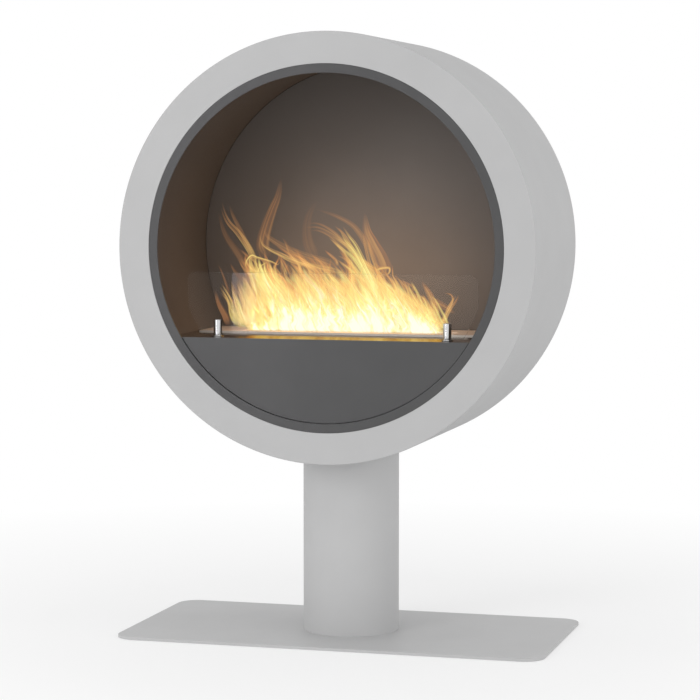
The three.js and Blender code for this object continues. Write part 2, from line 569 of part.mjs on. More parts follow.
function makeHearth() {
  const hearth = new THREE.Group();
  const screwLength = DECK_THICKNESS + SUPPORT_SHEET + SCREW_TAIL;
  const deckScrewHoles = deckScrewPlaces().map(([x, y]) =>
    solid(countersunk(M4_SCREW, screwLength, HOLE_GAP).rotateX(Math.PI).translate(x, y, deckZ)));

  const top = block([-deckHalf, deckFrontY, deckUnderZ], [deckHalf, deckRearY, deckZ]);
  const flangeHalf = reach(linerInner, flangeFootZ) - 2 * SEAT_GAP;
  const flange = block([-flangeHalf, deckFrontY, flangeFootZ], [flangeHalf, flangeBackY, deckZ]);
  const cutout = plate(
    roundedRectangle(-tankHalf - CUTOUT_GAP, tankFrontY - CUTOUT_GAP, tankHalf + CUTOUT_GAP,
      tankRearY + CUTOUT_GAP, TANK_CORNER_RADIUS), deckUnderZ - 1, deckZ + 1, 4);
  const postHoles = [-postX, postX].map((x) =>
    barZ(M5_NUT.shank / 2 + HOLE_GAP, x, postY, deckUnderZ - 1, deckZ + 1));
  const studHoles = panelStudPlaces().map(([x, z]) =>
    barY(STUD_DIAMETER / 2 + HOLE_GAP, x, z, deckFrontY - 1, flangeBackY + 1));
  const deck = cut(top.add(flange), [cutout, ...postHoles, ...studHoles, ...deckScrewHoles]);
  hearth.add(named('hearth_deck', deck, FINISH.graphite));

  // Angle supports follow the liner's wall under each side of the deck.
  const supportFrontY = postY + SUPPORT_FRONT_GAP;
  const supportRearY = fireboxBackY - SUPPORT_REAR_GAP;
  const legOuter = linerInner - 2 * SEAT_GAP;
  const legInner = legOuter - SUPPORT_SHEET;
  const legRing = solid(turn([[legInner, supportFrontY], [legOuter, supportFrontY], [legOuter, supportRearY],
    [legInner, supportRearY]]));
  const ledgeUnderZ = deckUnderZ - SUPPORT_SHEET;
  for (const [side, name] of [[-1, 'deck_support_left'], [1, 'deck_support_right']]) {
    const xs = (a, b) => [Math.min(side * a, side * b), Math.max(side * a, side * b)];
    const [legX0, legX1] = xs(supportInnerX, linerInner);
    const leg = legRing.intersect(
      block([legX0, supportFrontY - 1, deckUnderZ - SUPPORT_DROP], [legX1, supportRearY + 1, deckUnderZ]));
    const [ledgeX0, ledgeX1] = xs(supportInnerX, reach(legInner, ledgeUnderZ) + SUPPORT_SHEET / 2);
    const ledge = block([ledgeX0, supportFrontY, ledgeUnderZ], [ledgeX1, supportRearY, deckUnderZ]);
    hearth.add(named(name, cut(leg.add(ledge), deckScrewHoles), FINISH.zinc));
  }

  // The front panel closes the drum below the deck and stands a little behind the lip.
  const panelHalf = reach(panelRadius, panelTopZ);
  const start = Math.atan2(panelTopZ, -panelHalf);
  const end = Math.atan2(panelTopZ, panelHalf);
  const segment = new THREE.Shape();
  segment.absarc(0, 0, panelRadius, start, end, false);
  segment.closePath();
  const bracketFootZ = -reach(linerInner, PANEL_BRACKET_WIDTH / 2) + 2 * SEAT_GAP;
  const lowerStudZ = bracketFootZ + PANEL_BRACKET_HEIGHT - PANEL_LOWER_STUD_INSET;
  const panelStuds = [...panelStudPlaces(), [0, lowerStudZ]].map(([x, z]) =>
    barY(STUD_DIAMETER / 2, x, z, panelBackY - PANEL_THICKNESS / 2, panelBackY + STUD_LENGTH));
  const panel = join([uprightPlate(segment, panelFrontY, panelBackY, PANEL_EDGE_FLATS), ...panelStuds]);
  hearth.add(named('front_panel', panel, FINISH.graphite));

  const halfBracket = PANEL_BRACKET_WIDTH / 2;
  const bracketBackY = panelBackY + BRACKET_SHEET;
  const bracket = block([-halfBracket, panelBackY, bracketFootZ],
    [halfBracket, bracketBackY, bracketFootZ + PANEL_BRACKET_HEIGHT]).add(
    block([-halfBracket, panelBackY, bracketFootZ],
      [halfBracket, panelBackY + PANEL_BRACKET_FOOT, bracketFootZ + BRACKET_SHEET]));
  const lowerHole = barY(STUD_DIAMETER / 2 + HOLE_GAP, 0, lowerStudZ, panelBackY - 1, bracketBackY + 1);
  const lipNotch = solid(turn([[lipInner - SEAT_GAP, frontY], [DRUM_RADIUS, frontY],
    [DRUM_RADIUS, lipBackY + SEAT_GAP], [lipInner - SEAT_GAP, lipBackY + SEAT_GAP]]));
  hearth.add(named('panel_bracket', cut(bracket, [lowerHole, lipNotch]), FINISH.zinc));
  return hearth;
}

// ---------------------------------------------------------------------------------------------
// Burner
// ---------------------------------------------------------------------------------------------

function makeBurner() {
  const burner = new THREE.Group();

  // The surround is a shallow folded tray, upside down, with the flame slot in its top.
  const skirtFootZ = deckZ + RUN_GAP;
  const tray = plate(
    roundedRectangle(-surroundHalf, surroundFrontY, surroundHalf, surroundRearY, SURROUND_CORNER_RADIUS),
    skirtFootZ, surroundTopZ, 4);
  const hollow = plate(
    roundedRectangle(-surroundHalf + SURROUND_SHEET, surroundFrontY + SURROUND_SHEET,
      surroundHalf - SURROUND_SHEET, surroundRearY - SURROUND_SHEET,
      SURROUND_CORNER_RADIUS - SURROUND_SHEET), skirtFootZ - 1, surroundUnderZ, 4);
  const slot = plate(roundedRectangle(-slotHalf, slotFrontY, slotHalf, slotRearY, SLOT_CORNER_RADIUS),
    surroundUnderZ - 1, surroundTopZ + 1, 6);
  burner.add(named('burner_surround', cut(tray, [hollow, slot]), FINISH.stainless));

  const tankBody = plate(roundedRectangle(-tankHalf, tankFrontY, tankHalf, tankRearY, TANK_CORNER_RADIUS),
    tankFloorZ, surroundUnderZ, 5);
  const tankHollow = plate(
    roundedRectangle(-tankHalf + TANK_WALL, tankFrontY + TANK_WALL, tankHalf - TANK_WALL,
      tankRearY - TANK_WALL, TANK_CORNER_RADIUS - TANK_WALL), woolFootZ, surroundUnderZ + 1, 5);
  burner.add(named('burner_tank', tankBody.subtract(tankHollow), FINISH.stainless));

  // Z-shaped rails hang under the surround and carry the damper's two ends.
  for (const [side, name] of [[-1, 'damper_rail_left'], [1, 'damper_rail_right']]) {
    const section = outline([[railWebX - RAIL_LEDGE, railFootZ], [railWebX + RAIL_SHEET, railFootZ],
      [railWebX + RAIL_SHEET, surroundUnderZ - RAIL_SHEET],
      [railWebX + RAIL_FLANGE, surroundUnderZ - RAIL_SHEET],
      [railWebX + RAIL_FLANGE, surroundUnderZ], [railWebX, surroundUnderZ], [railWebX, railLedgeZ],
      [railWebX - RAIL_LEDGE, railLedgeZ]].map(([x, z]) => [side * x, z]));
    const rail = uprightPlate(section, tankFrontY + TANK_WALL + SEAT_GAP, tankRearY - TANK_WALL - SEAT_GAP);
    burner.add(named(name, rail, FINISH.stainless));
  }

  // The damper slides under the slot; its pull lip stands up through the slot.
  const blade = block([-damperHalf, damperFrontY, damperUnderZ],
    [damperHalf, damperFrontY + damperWidth, damperTopZ]);
  const pullY = damperFrontY + DAMPER_OVERLAP + RUN_GAP;
  const pull = block([-PULL_LENGTH / 2, pullY, damperUnderZ],
    [PULL_LENGTH / 2, pullY + PULL_SHEET, surroundTopZ + PULL_HEIGHT]);
  const hook = barY(PULL_HOLE / 2, 0, surroundTopZ + PULL_HEIGHT / 2, pullY - 1, pullY + PULL_SHEET + 1);
  burner.add(named('flame_damper', blade.add(pull).subtract(hook), FINISH.stainless));

  const insideHalf = tankHalf - TANK_WALL - RUN_GAP;
  const insideFrontY = tankFrontY + TANK_WALL + RUN_GAP;
  const insideRearY = tankRearY - TANK_WALL - RUN_GAP;
  const insideCorner = TANK_CORNER_RADIUS - TANK_WALL;
  const wool = plate(roundedRectangle(-insideHalf, insideFrontY, insideHalf, insideRearY, insideCorner),
    woolFootZ, woolTopZ, 4);
  burner.add(named('ceramic_wool', wool, FINISH.wool));

  // A slotted sheet holds the wool down.
  const gridFootZ = woolTopZ + RUN_GAP;
  const gridTopZ = gridFootZ + GRID_THICKNESS;
  const sheet = plate(roundedRectangle(-insideHalf, insideFrontY, insideHalf, insideRearY, insideCorner),
    gridFootZ, gridTopZ, 4);
  const pitch = (2 * (insideHalf - GRID_RIM)) / GRID_SLOT_COUNT;
  const gridSlots = Array.from({ length: GRID_SLOT_COUNT }, (_, i) => {
    const x = -insideHalf + GRID_RIM + (i + 0.5) * pitch;
    return block([x - GRID_SLOT_WIDTH / 2, insideFrontY + GRID_RIM, gridFootZ - 1],
      [x + GRID_SLOT_WIDTH / 2, insideRearY - GRID_RIM, gridTopZ + 1]);
  });
  burner.add(named('wool_grid', cut(sheet, gridSlots), FINISH.stainless));
  return burner;
}

// ---------------------------------------------------------------------------------------------
// Glass screen
// ---------------------------------------------------------------------------------------------

function makeScreen() {
  const screen = new THREE.Group();
  const paneFrontY = postY - GLASS_THICKNESS / 2;
  const paneRearY = postY + GLASS_THICKNESS / 2;

  // Straight sides, round top corners, and lower corners cut parallel to the drum.
  const sideZ = -reach(glassRound, glassHalf);
  const pane = new THREE.Shape();
  pane.absarc(0, 0, glassRound, Math.atan2(glassFootZ, glassFootHalf), Math.atan2(sideZ, glassHalf), false);
  pane.absarc(glassHalf - GLASS_CORNER_RADIUS, glassTopZ - GLASS_CORNER_RADIUS, GLASS_CORNER_RADIUS,
    0, Math.PI / 2, false);
  pane.absarc(-glassHalf + GLASS_CORNER_RADIUS, glassTopZ - GLASS_CORNER_RADIUS, GLASS_CORNER_RADIUS,
    Math.PI / 2, Math.PI, false);
  pane.absarc(0, 0, glassRound, Math.atan2(sideZ, -glassHalf) + 2 * Math.PI,
    Math.atan2(glassFootZ, -glassFootHalf) + 2 * Math.PI, false);
  pane.closePath();
  screen.add(named('glass_screen', uprightPlate(pane, paneFrontY, paneRearY, 8), FINISH.glass));

  const flangeTopZ = deckZ + POST_FLANGE_THICKNESS;
  const studFootZ = deckUnderZ - M5_NUT.headHeight - SCREW_TAIL;
  const slotHalfWidth = GLASS_THICKNESS / 2 + RUN_GAP;
  for (const [side, word] of [[-1, 'left'], [1, 'right']]) {
    const x = side * postX;
    const profile = [[0, studFootZ], [M5_NUT.shank / 2, studFootZ], [M5_NUT.shank / 2, deckZ],
      [POST_FLANGE_DIAMETER / 2, deckZ], [POST_FLANGE_DIAMETER / 2, flangeTopZ],
      [POST_DIAMETER / 2, flangeTopZ], [POST_DIAMETER / 2, postTopZ - POST_EDGE],
      [POST_DIAMETER / 2 - POST_EDGE, postTopZ], [0, postTopZ]];
    const post = solid(turnUp(profile, POST_FLATS).translate(x, postY, 0));
    const slot = block([x - POST_DIAMETER, postY - slotHalfWidth, postSlotZ],
      [x + POST_DIAMETER, postY + slotHalfWidth, postTopZ + 1]);
    screen.add(named(`glass_post_${word}`, post.subtract(slot), FINISH.stainless));

    const pad = block([x - POST_DIAMETER / 4, postY - GLASS_THICKNESS / 2, postSlotZ],
      [x + POST_DIAMETER / 4, postY + GLASS_THICKNESS / 2, postSlotZ + REST_PAD_THICKNESS]);
    screen.add(named(`glass_rest_pad_${word}`, pad, FINISH.silicone));

    const nut = hexagon(M5_NUT.head, deckUnderZ - M5_NUT.headHeight, deckUnderZ, M5_NUT.shank + 2 * HOLE_GAP);
    screen.add(named(`post_nut_${word}`, geometryOf(nut).translate(x, postY, 0), FINISH.zinc));
  }
  return screen;
}

// ---------------------------------------------------------------------------------------------
// Whole fireplace
// ---------------------------------------------------------------------------------------------

const fireplace = new THREE.Group();
const drum = new THREE.Group();
drum.position.z = DRUM_AXIS_HEIGHT;
const { saddle, holes } = makeSaddle();
drum.add(saddle, makeCasing(holes), makeFirebox(), makeHearth(), makeBurner(), makeScreen());
fireplace.add(makeStand(), drum);

export default fireplace;
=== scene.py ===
"""Looks of a free-standing round bioethanol fireplace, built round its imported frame.

Metres, +Z up. The origin is on the floor under the middle of the base plate, the drum's axis runs
along Y, and its open front faces -Y.
"""

import logging
import math
from dataclasses import dataclass, field, replace
from enum import Enum
from typing import Callable, Sequence

import bmesh
import bpy
import numpy as np
from mathutils import Matrix, Vector


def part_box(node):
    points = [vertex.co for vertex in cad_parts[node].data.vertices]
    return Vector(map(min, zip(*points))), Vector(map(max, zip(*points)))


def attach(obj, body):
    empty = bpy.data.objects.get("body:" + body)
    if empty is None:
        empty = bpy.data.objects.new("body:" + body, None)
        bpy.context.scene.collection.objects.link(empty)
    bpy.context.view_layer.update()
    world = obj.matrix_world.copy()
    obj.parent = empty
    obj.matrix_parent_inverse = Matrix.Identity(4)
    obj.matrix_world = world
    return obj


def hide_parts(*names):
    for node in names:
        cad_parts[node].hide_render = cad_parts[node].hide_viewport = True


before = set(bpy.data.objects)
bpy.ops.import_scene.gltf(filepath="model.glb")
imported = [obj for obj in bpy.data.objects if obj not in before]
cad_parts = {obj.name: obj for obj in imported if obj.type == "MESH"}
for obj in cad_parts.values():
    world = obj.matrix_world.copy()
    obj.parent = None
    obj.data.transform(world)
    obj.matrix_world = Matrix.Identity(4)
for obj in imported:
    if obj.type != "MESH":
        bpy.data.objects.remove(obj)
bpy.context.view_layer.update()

LOG = logging.getLogger("fireplace")

Pair = tuple[float, float]
Triple = tuple[float, float, float]
Point = Pair
Place = Triple
Colour = Triple
Stop = tuple[float, Colour]
Socket = bpy.types.NodeSocket
Piece = bpy.types.Object

WHITE: Colour = (1.0, 1.0, 1.0)
ORIGIN = Vector((0.0, 0.0, 0.0))
FULL_TURN = 2.0 * math.pi
MM_IN_METRE = 1000.0
WELD_DISTANCE = 2e-6
FLAT_ANGLE = math.radians(0.2)
BACKWARDS: Triple = (-90.0, 0.0, 0.0)
FLAME_FOOT = -0.1335
FLAME_FLOW = "flow"
FLAME_HEAT = "warmth"
FLAME_COVER = "cover"
STREAK_SHIFT = 30.0
WAVE_SMOOTHING = (0.1, 0.2, 0.4, 0.2, 0.1)


class Slot(Enum):
    """The record's material slots."""

    POWDER_COAT = "powder_coat"
    GRAPHITE = "graphite_paint"
    STAINLESS = "stainless"
    ZINC = "zinc_steel"
    GLASS = "glass"
    WOOL = "ceramic_fibre"
    SILICONE = "silicone"


class Body(Enum):
    """The frame's bodies that pieces ride on."""

    DRUM = "stand_and_drum"
    BURNER = "burner"
    DAMPER = "damper"
    SCREEN = "screen"


class TurnAxis(Enum):
    """The way that a turned piece's axis points."""

    DRUM = "drum"
    UPRIGHT = "upright"


# Node trees


class NodeTree:
    """A node tree that is filled node by node."""

    def __init__(self, tree: bpy.types.NodeTree) -> None:
        """Take a tree and empty it."""
        self.tree = tree
        self.tree.nodes.clear()

    def node(self, kind: str, settings: dict | None = None, **inputs: object) -> bpy.types.Node:
        """Add a node, with its settings and inputs.

        Args:
            kind: The node's type.
            settings: Values of the node's own properties.
            **inputs: Values or sockets by input name, with _ for a space.

        Returns:
            The new node.
        """
        made = self.tree.nodes.new(kind)
        for key, value in (settings or {}).items():
            setattr(made, key, value)
        for key, value in inputs.items():
            self.feed(made.inputs[key.replace("_", " ")], value)
        return made

    def feed(self, socket: Socket, value: object) -> None:
        """Set a socket to a constant, or link another socket to it.

        Args:
            socket: The socket that is fed.
            value: A number, a vector, a colour or another node's output.
        """
        if isinstance(value, Socket):
            self.tree.links.new(value, socket)
        elif isinstance(value, tuple) and socket.type == "RGBA":
            socket.default_value = (*value, 1.0)
        else:
            socket.default_value = value

    def math(self, operation: str, *values: object, clamp: bool = False) -> Socket:
        """Add one sum on numbers or sockets.

        Args:
            operation: The sum, by its name in Blender.
            *values: Its one or two terms.
            clamp: Whether the result is kept in 0 to 1.

        Returns:
            The result's socket.
        """
        made = self.node("ShaderNodeMath", {"operation": operation, "use_clamp": clamp})
        for socket, value in zip(made.inputs, values):
            self.feed(socket, value)
        return made.outputs[0]


class ShaderTree(NodeTree):
    """One procedural material on Object coordinates, or the studio's sky."""

    def __init__(self, name: str, sky: bool = False) -> None:
        """Start an empty material or sky.

        Args:
            name: Its name.
            sky: Whether it is a sky.
        """
        self.owner = (bpy.data.worlds if sky else bpy.data.materials).new(name)
        self.owner.use_nodes = True
        super().__init__(self.owner.node_tree)
        self.output = self.node(f"ShaderNodeOutput{'World' if sky else 'Material'}")
        self._object: Socket | None = None

    def place(self) -> Socket:
        """Return the Object coordinates."""
        if self._object is None:
            self._object = self.node("ShaderNodeTexCoord").outputs["Object"]
        return self._object

    def stretched(self, scale: Triple) -> Socket:
        """Return Object coordinates scaled along each axis."""
        return self.node("ShaderNodeMapping", Vector=self.place(), Scale=scale).outputs["Vector"]

    def length(self, vector: Socket) -> Socket:
        """Return a vector's length."""
        return self.node("ShaderNodeVectorMath", {"operation": "LENGTH"}, Vector=vector).outputs["Value"]

    def noise(self, vector: Socket, scale: float, detail: float = 2.0,
              distortion: float = 0.0) -> Socket:
        """Return a noise texture's value, for coordinates, cells in a metre, octaves and distortion."""
        return self.node("ShaderNodeTexNoise", Vector=vector, Scale=scale, Detail=detail,
                         Distortion=distortion).outputs[0]

    def spread(self, value: Socket, low: float, high: float, start: float = 0.3,
               stop: float = 0.7) -> Socket:
        """Map a value to another range, and clamp it there.

        Args:
            value: The value.
            low: The result at start and below.
            high: The result at stop and above.
            start: The value that gives low.
            stop: The value that gives high.

        Returns:
            The result's socket.
        """
        made = self.node("ShaderNodeMapRange", {"clamp": True}, Value=value)
        for index, number in enumerate((start, stop, low, high), start=1):
            made.inputs[index].default_value = number
        return made.outputs[0]

    def blend(self, factor: object, first: object, second: object, way: str = "MIX") -> Socket:
        """Blend two colours.

        Args:
            factor: The second colour's share.
            first: The first colour.
            second: The second colour.
            way: The way to blend, by its name in Blender.

        Returns:
            The blended colour's socket.
        """
        made = self.node("ShaderNodeMix", {"data_type": "RGBA", "blend_type": way})
        for index, value in ((0, factor), (6, first), (7, second)):
            self.feed(made.inputs[index], value)
        return made.outputs[2]

    def ramp(self, factor: Socket, stops: Sequence[Stop]) -> Socket:
        """Read a colour off a ramp.

        Args:
            factor: The place on the ramp.
            stops: The ramp's places and colours.

        Returns:
            The colour's socket.
        """
        made = self.node("ShaderNodeValToRGB", Fac=factor)
        elements = made.color_ramp.elements
        while len(elements) < len(stops):
            elements.new(1.0)
        for element, (position, colour) in zip(elements, stops):
            element.position = position
            element.color = (*colour, 1.0)
        return made.outputs["Color"]

    def bump(self, height: Socket, distance: float, strength: float, under: Socket | None = None) -> Socket:
        """Bend the normal by a height.

        Args:
            height: The height's socket, 0 to 1.
            distance: The height in metres of 1.
            strength: The share of it that shows.
            under: A normal that this one is laid over.

        Returns:
            The normal's socket.
        """
        made = self.node("ShaderNodeBump", Height=height, Distance=distance, Strength=strength)
        if under is not None:
            self.feed(made.inputs["Normal"], under)
        return made.outputs["Normal"]

    def principled(self, **inputs: object) -> Socket:
        """Return a Principled surface with its inputs, by name."""
        return self.node("ShaderNodeBsdfPrincipled", **inputs).outputs[0]

    def mix(self, factor: Socket, first: Socket, second: Socket) -> Socket:
        """Mix two surfaces by a factor.

        Args:
            factor: The second surface's share.
            first: The first surface.
            second: The second surface.

        Returns:
            The mixed surface's socket.
        """
        made = self.node("ShaderNodeMixShader", Fac=factor)
        self.feed(made.inputs[1], first)
        self.feed(made.inputs[2], second)
        return made.outputs[0]

    def finish(self, surface: Socket) -> bpy.types.ID:
        """Link the surface to the output and return the material or sky."""
        self.feed(self.output.inputs["Surface"], surface)
        return self.owner


# Finishes


@dataclass(frozen=True)
class Finish:
    """A finish, with its material's name and its slot in the record."""

    name: str
    slot: Slot

    def build(self) -> bpy.types.Material:
        """Build the finish's material."""
        raise NotImplementedError


@dataclass(frozen=True)
class PaintedShading:
    """A slow change of a coat's tone away from a middle: painted light and shade.

    Attributes:
        colour: The tone that the coat reaches.
        middle: Where the distance starts.
        along: How much each axis counts in the distance.
        start: The distance at which the tone starts to change.
        stop: The distance at which it has changed.
    """

    colour: Colour
    middle: Place
    along: Triple
    start: float
    stop: float

    def share(self, shader: ShaderTree) -> Socket:
        """Add the nodes that measure the change.

        Args:
            shader: The coat's tree.

        Returns:
            The changed tone's share.
        """
        offset = tuple(-m * a for m, a in zip(self.middle, self.along))
        place = shader.node("ShaderNodeMapping", Vector=shader.place(), Scale=self.along,
                            Location=offset).outputs["Vector"]
        return shader.spread(shader.length(place), 0.0, 1.0, self.start, self.stop)


@dataclass(frozen=True)
class Coating(Finish):
    """A sprayed and baked coat on sheet steel, with its fine orange peel.

    Attributes:
        colour: The coat's tone.
        second_colour: The tone that its clouds and specks lean to.
        roughness: The least and the greatest roughness.
        grain: The specks in a metre.
        peel: The height of the orange peel.
        specular: The level of its gloss.
        fade: A painted change of its tone away from a middle, as light and shade.
        clouds: The clouds in a metre.
        coarse: The coarse peel's scale, as a share of the grain.
        coarse_height: The coarse peel's height, as a share of the fine peel's.
        shows: How much of the fine and of the coarse peel shows.
        speck_share: How far the specks lean to the second tone.
        speck_range: The noise between which they start and are full.
    """

    colour: Colour
    second_colour: Colour
    roughness: Pair
    grain: float
    peel: float
    specular: float = 0.5
    fade: PaintedShading | None = None
    clouds: float = 9.0
    coarse: float = 0.28
    coarse_height: float = 2.0
    shows: Pair = (0.6, 0.4)
    speck_share: float = 0.35
    speck_range: Pair = (0.35, 0.75)

    def build(self) -> bpy.types.Material:
        """Build the coat's material.

        Returns:
            The material.
        """
        shader = ShaderTree(self.name)
        clouds = shader.noise(shader.place(), self.clouds, 3.0)
        specks = shader.noise(shader.place(), self.grain)
        colour = shader.blend(shader.spread(clouds, 0.0, 1.0), self.colour, self.second_colour)
        # Painted light and shade: the tone changes with the distance from a middle.
        if self.fade is not None:
            colour = shader.blend(self.fade.share(shader), colour, self.fade.colour)
        leaning = shader.spread(specks, 0.0, self.speck_share, *self.speck_range)
        colour = shader.blend(leaning, colour, self.second_colour)
        coarse = shader.noise(shader.place(), self.grain * self.coarse, 1.0)
        peel = shader.bump(specks, self.peel, self.shows[0])
        peel = shader.bump(coarse, self.peel * self.coarse_height, self.shows[1], peel)
        return shader.finish(shader.principled(
            Base_Color=colour, Roughness=shader.spread(specks, *self.roughness), Normal=peel,
            Specular_IOR_Level=self.specular))


@dataclass(frozen=True)
class BrushedSteel(Finish):
    """Stainless sheet brushed along one axis.

    Attributes:
        colour: The steel's tone.
        second_colour: The tone of its strokes and clouds.
        roughness: The least and the greatest roughness.
        lines: The strokes in a metre along each axis.
        depth: The strokes' depth.
        metal: How metallic it is, 0 to 1.
        clouds: The clouds in a metre.
        cloud_share: How far the clouds lean to the second tone.
        shows: How much of the strokes' depth shows.
    """

    colour: Colour
    second_colour: Colour
    roughness: Pair
    lines: Triple
    depth: float
    metal: float = 1.0
    clouds: float = 14.0
    cloud_share: float = 0.3
    shows: float = 0.5

    def build(self) -> bpy.types.Material:
        """Build the steel's material.

        Returns:
            The material.
        """
        shader = ShaderTree(self.name)
        strokes = shader.noise(shader.stretched(self.lines), 1.0, 4.0)
        clouds = shader.noise(shader.place(), self.clouds)
        colour = shader.blend(shader.spread(strokes, 0.0, 1.0), self.colour, self.second_colour)
        colour = shader.blend(shader.spread(clouds, 0.0, self.cloud_share), colour, self.second_colour)
        return shader.finish(shader.principled(
            Base_Color=colour, Roughness=shader.spread(strokes, *self.roughness),
            Normal=shader.bump(strokes, self.depth, self.shows), Metallic=self.metal))


@dataclass(frozen=True)
class ZincPlate(Finish):
    """Bright zinc on pressed steel parts and fasteners, with its faint spangle."""

    colour: Colour
    second_colour: Colour
    roughness: Pair = (0.28, 0.46)
    spangles: float = 260.0
    spangle_share: float = 0.7
    spangle_range: Pair = (0.1, 0.8)
    dust: float = 600.0
    dust_share: float = 0.4
    depth: float = 0.00002
    shows: float = 0.4

    def build(self) -> bpy.types.Material:
        """Build the zinc's material.

        Returns:
            The material.
        """
        shader = ShaderTree(self.name)
        spangle = shader.node("ShaderNodeTexVoronoi", Vector=shader.place(), Scale=self.spangles)
        dust = shader.noise(shader.place(), self.dust, 3.0)
        share = shader.spread(spangle.outputs["Distance"], 0.0, self.spangle_share, *self.spangle_range)
        colour = shader.blend(share, self.colour, self.second_colour)
        colour = shader.blend(shader.spread(dust, 0.0, self.dust_share), colour, self.second_colour)
        return shader.finish(shader.principled(
            Base_Color=colour, Roughness=shader.spread(dust, *self.roughness),
            Normal=shader.bump(dust, self.depth, self.shows), Metallic=1.0))


@dataclass(frozen=True)
class ClearGlass(Finish):
    """Toughened float glass; rays from lamps pass it, so that it leaves no dark shadow."""

    colour: Colour
    smeared: Colour
    refraction: float
    smears: float = 22.0
    wandering: float = 0.4

    def build(self) -> bpy.types.Material:
        """Build the glass's material.

        Returns:
            The material.
        """
        shader = ShaderTree(self.name)
        smears = shader.noise(shader.place(), self.smears, 3.0, self.wandering)
        smears = shader.spread(smears, 0.0, 1.0)
        glass = shader.principled(Base_Color=shader.blend(smears, self.colour, self.smeared),
                                  Roughness=0.0, IOR=self.refraction, Transmission_Weight=1.0)
        clear = shader.node("ShaderNodeBsdfTransparent", Color=self.colour).outputs[0]
        lamp_ray = shader.node("ShaderNodeLightPath").outputs["Is Shadow Ray"]
        return shader.finish(shader.mix(lamp_ray, glass, clear))


@dataclass(frozen=True)
class GroundEdge(Finish):
    """The pane's ground edge, which shows as a faint line."""

    colour: Colour
    opacity: float
    roughness: Pair = (0.45, 0.65)
    grain: float = 2600.0

    def build(self) -> bpy.types.Material:
        """Build the edge's material.

        Returns:
            The material.
        """
        shader = ShaderTree(self.name)
        grain = shader.noise(shader.place(), self.grain)
        return shader.finish(shader.principled(
            Base_Color=self.colour, Roughness=shader.spread(grain, *self.roughness), Alpha=self.opacity))


@dataclass(frozen=True)
class CeramicFibre(Finish):
    """White ceramic wool, matted and a little scorched on top."""

    colour: Colour
    scorched: Colour
    fibres: Triple = (180.0, 700.0, 700.0)
    matting: float = 0.6
    stains: float = 24.0
    stain_share: float = 0.7
    stain_range: Pair = (0.45, 0.75)
    roughness: Pair = (0.85, 1.0)
    depth: float = 0.0006
    shows: float = 0.8
    sheen: float = 0.3

    def build(self) -> bpy.types.Material:
        """Build the wool's material.

        Returns:
            The material.
        """
        shader = ShaderTree(self.name)
        fibres = shader.noise(shader.stretched(self.fibres), 1.0, 5.0, self.matting)
        stains = shader.noise(shader.place(), self.stains, 3.0)
        stained = shader.spread(stains, 0.0, self.stain_share, *self.stain_range)
        return shader.finish(shader.principled(
            Base_Color=shader.blend(stained, self.colour, self.scorched),
            Roughness=shader.spread(fibres, *self.roughness),
            Normal=shader.bump(fibres, self.depth, self.shows), Sheen_Weight=self.sheen))


@dataclass(frozen=True)
class SiliconeRubber(Finish):
    """Milky clear-grey silicone."""

    colour: Colour
    second_colour: Colour
    roughness: Pair = (0.38, 0.52)
    cloud: float = 320.0
    depth: float = 0.00003
    shows: float = 0.5

    def build(self) -> bpy.types.Material:
        """Build the silicone's material.

        Returns:
            The material.
        """
        shader = ShaderTree(self.name)
        cloud = shader.noise(shader.place(), self.cloud)
        colour = shader.blend(shader.spread(cloud, 0.0, 1.0), self.colour, self.second_colour)
        return shader.finish(shader.principled(
            Base_Color=colour, Roughness=shader.spread(cloud, *self.roughness),
            Normal=shader.bump(cloud, self.depth, self.shows)))


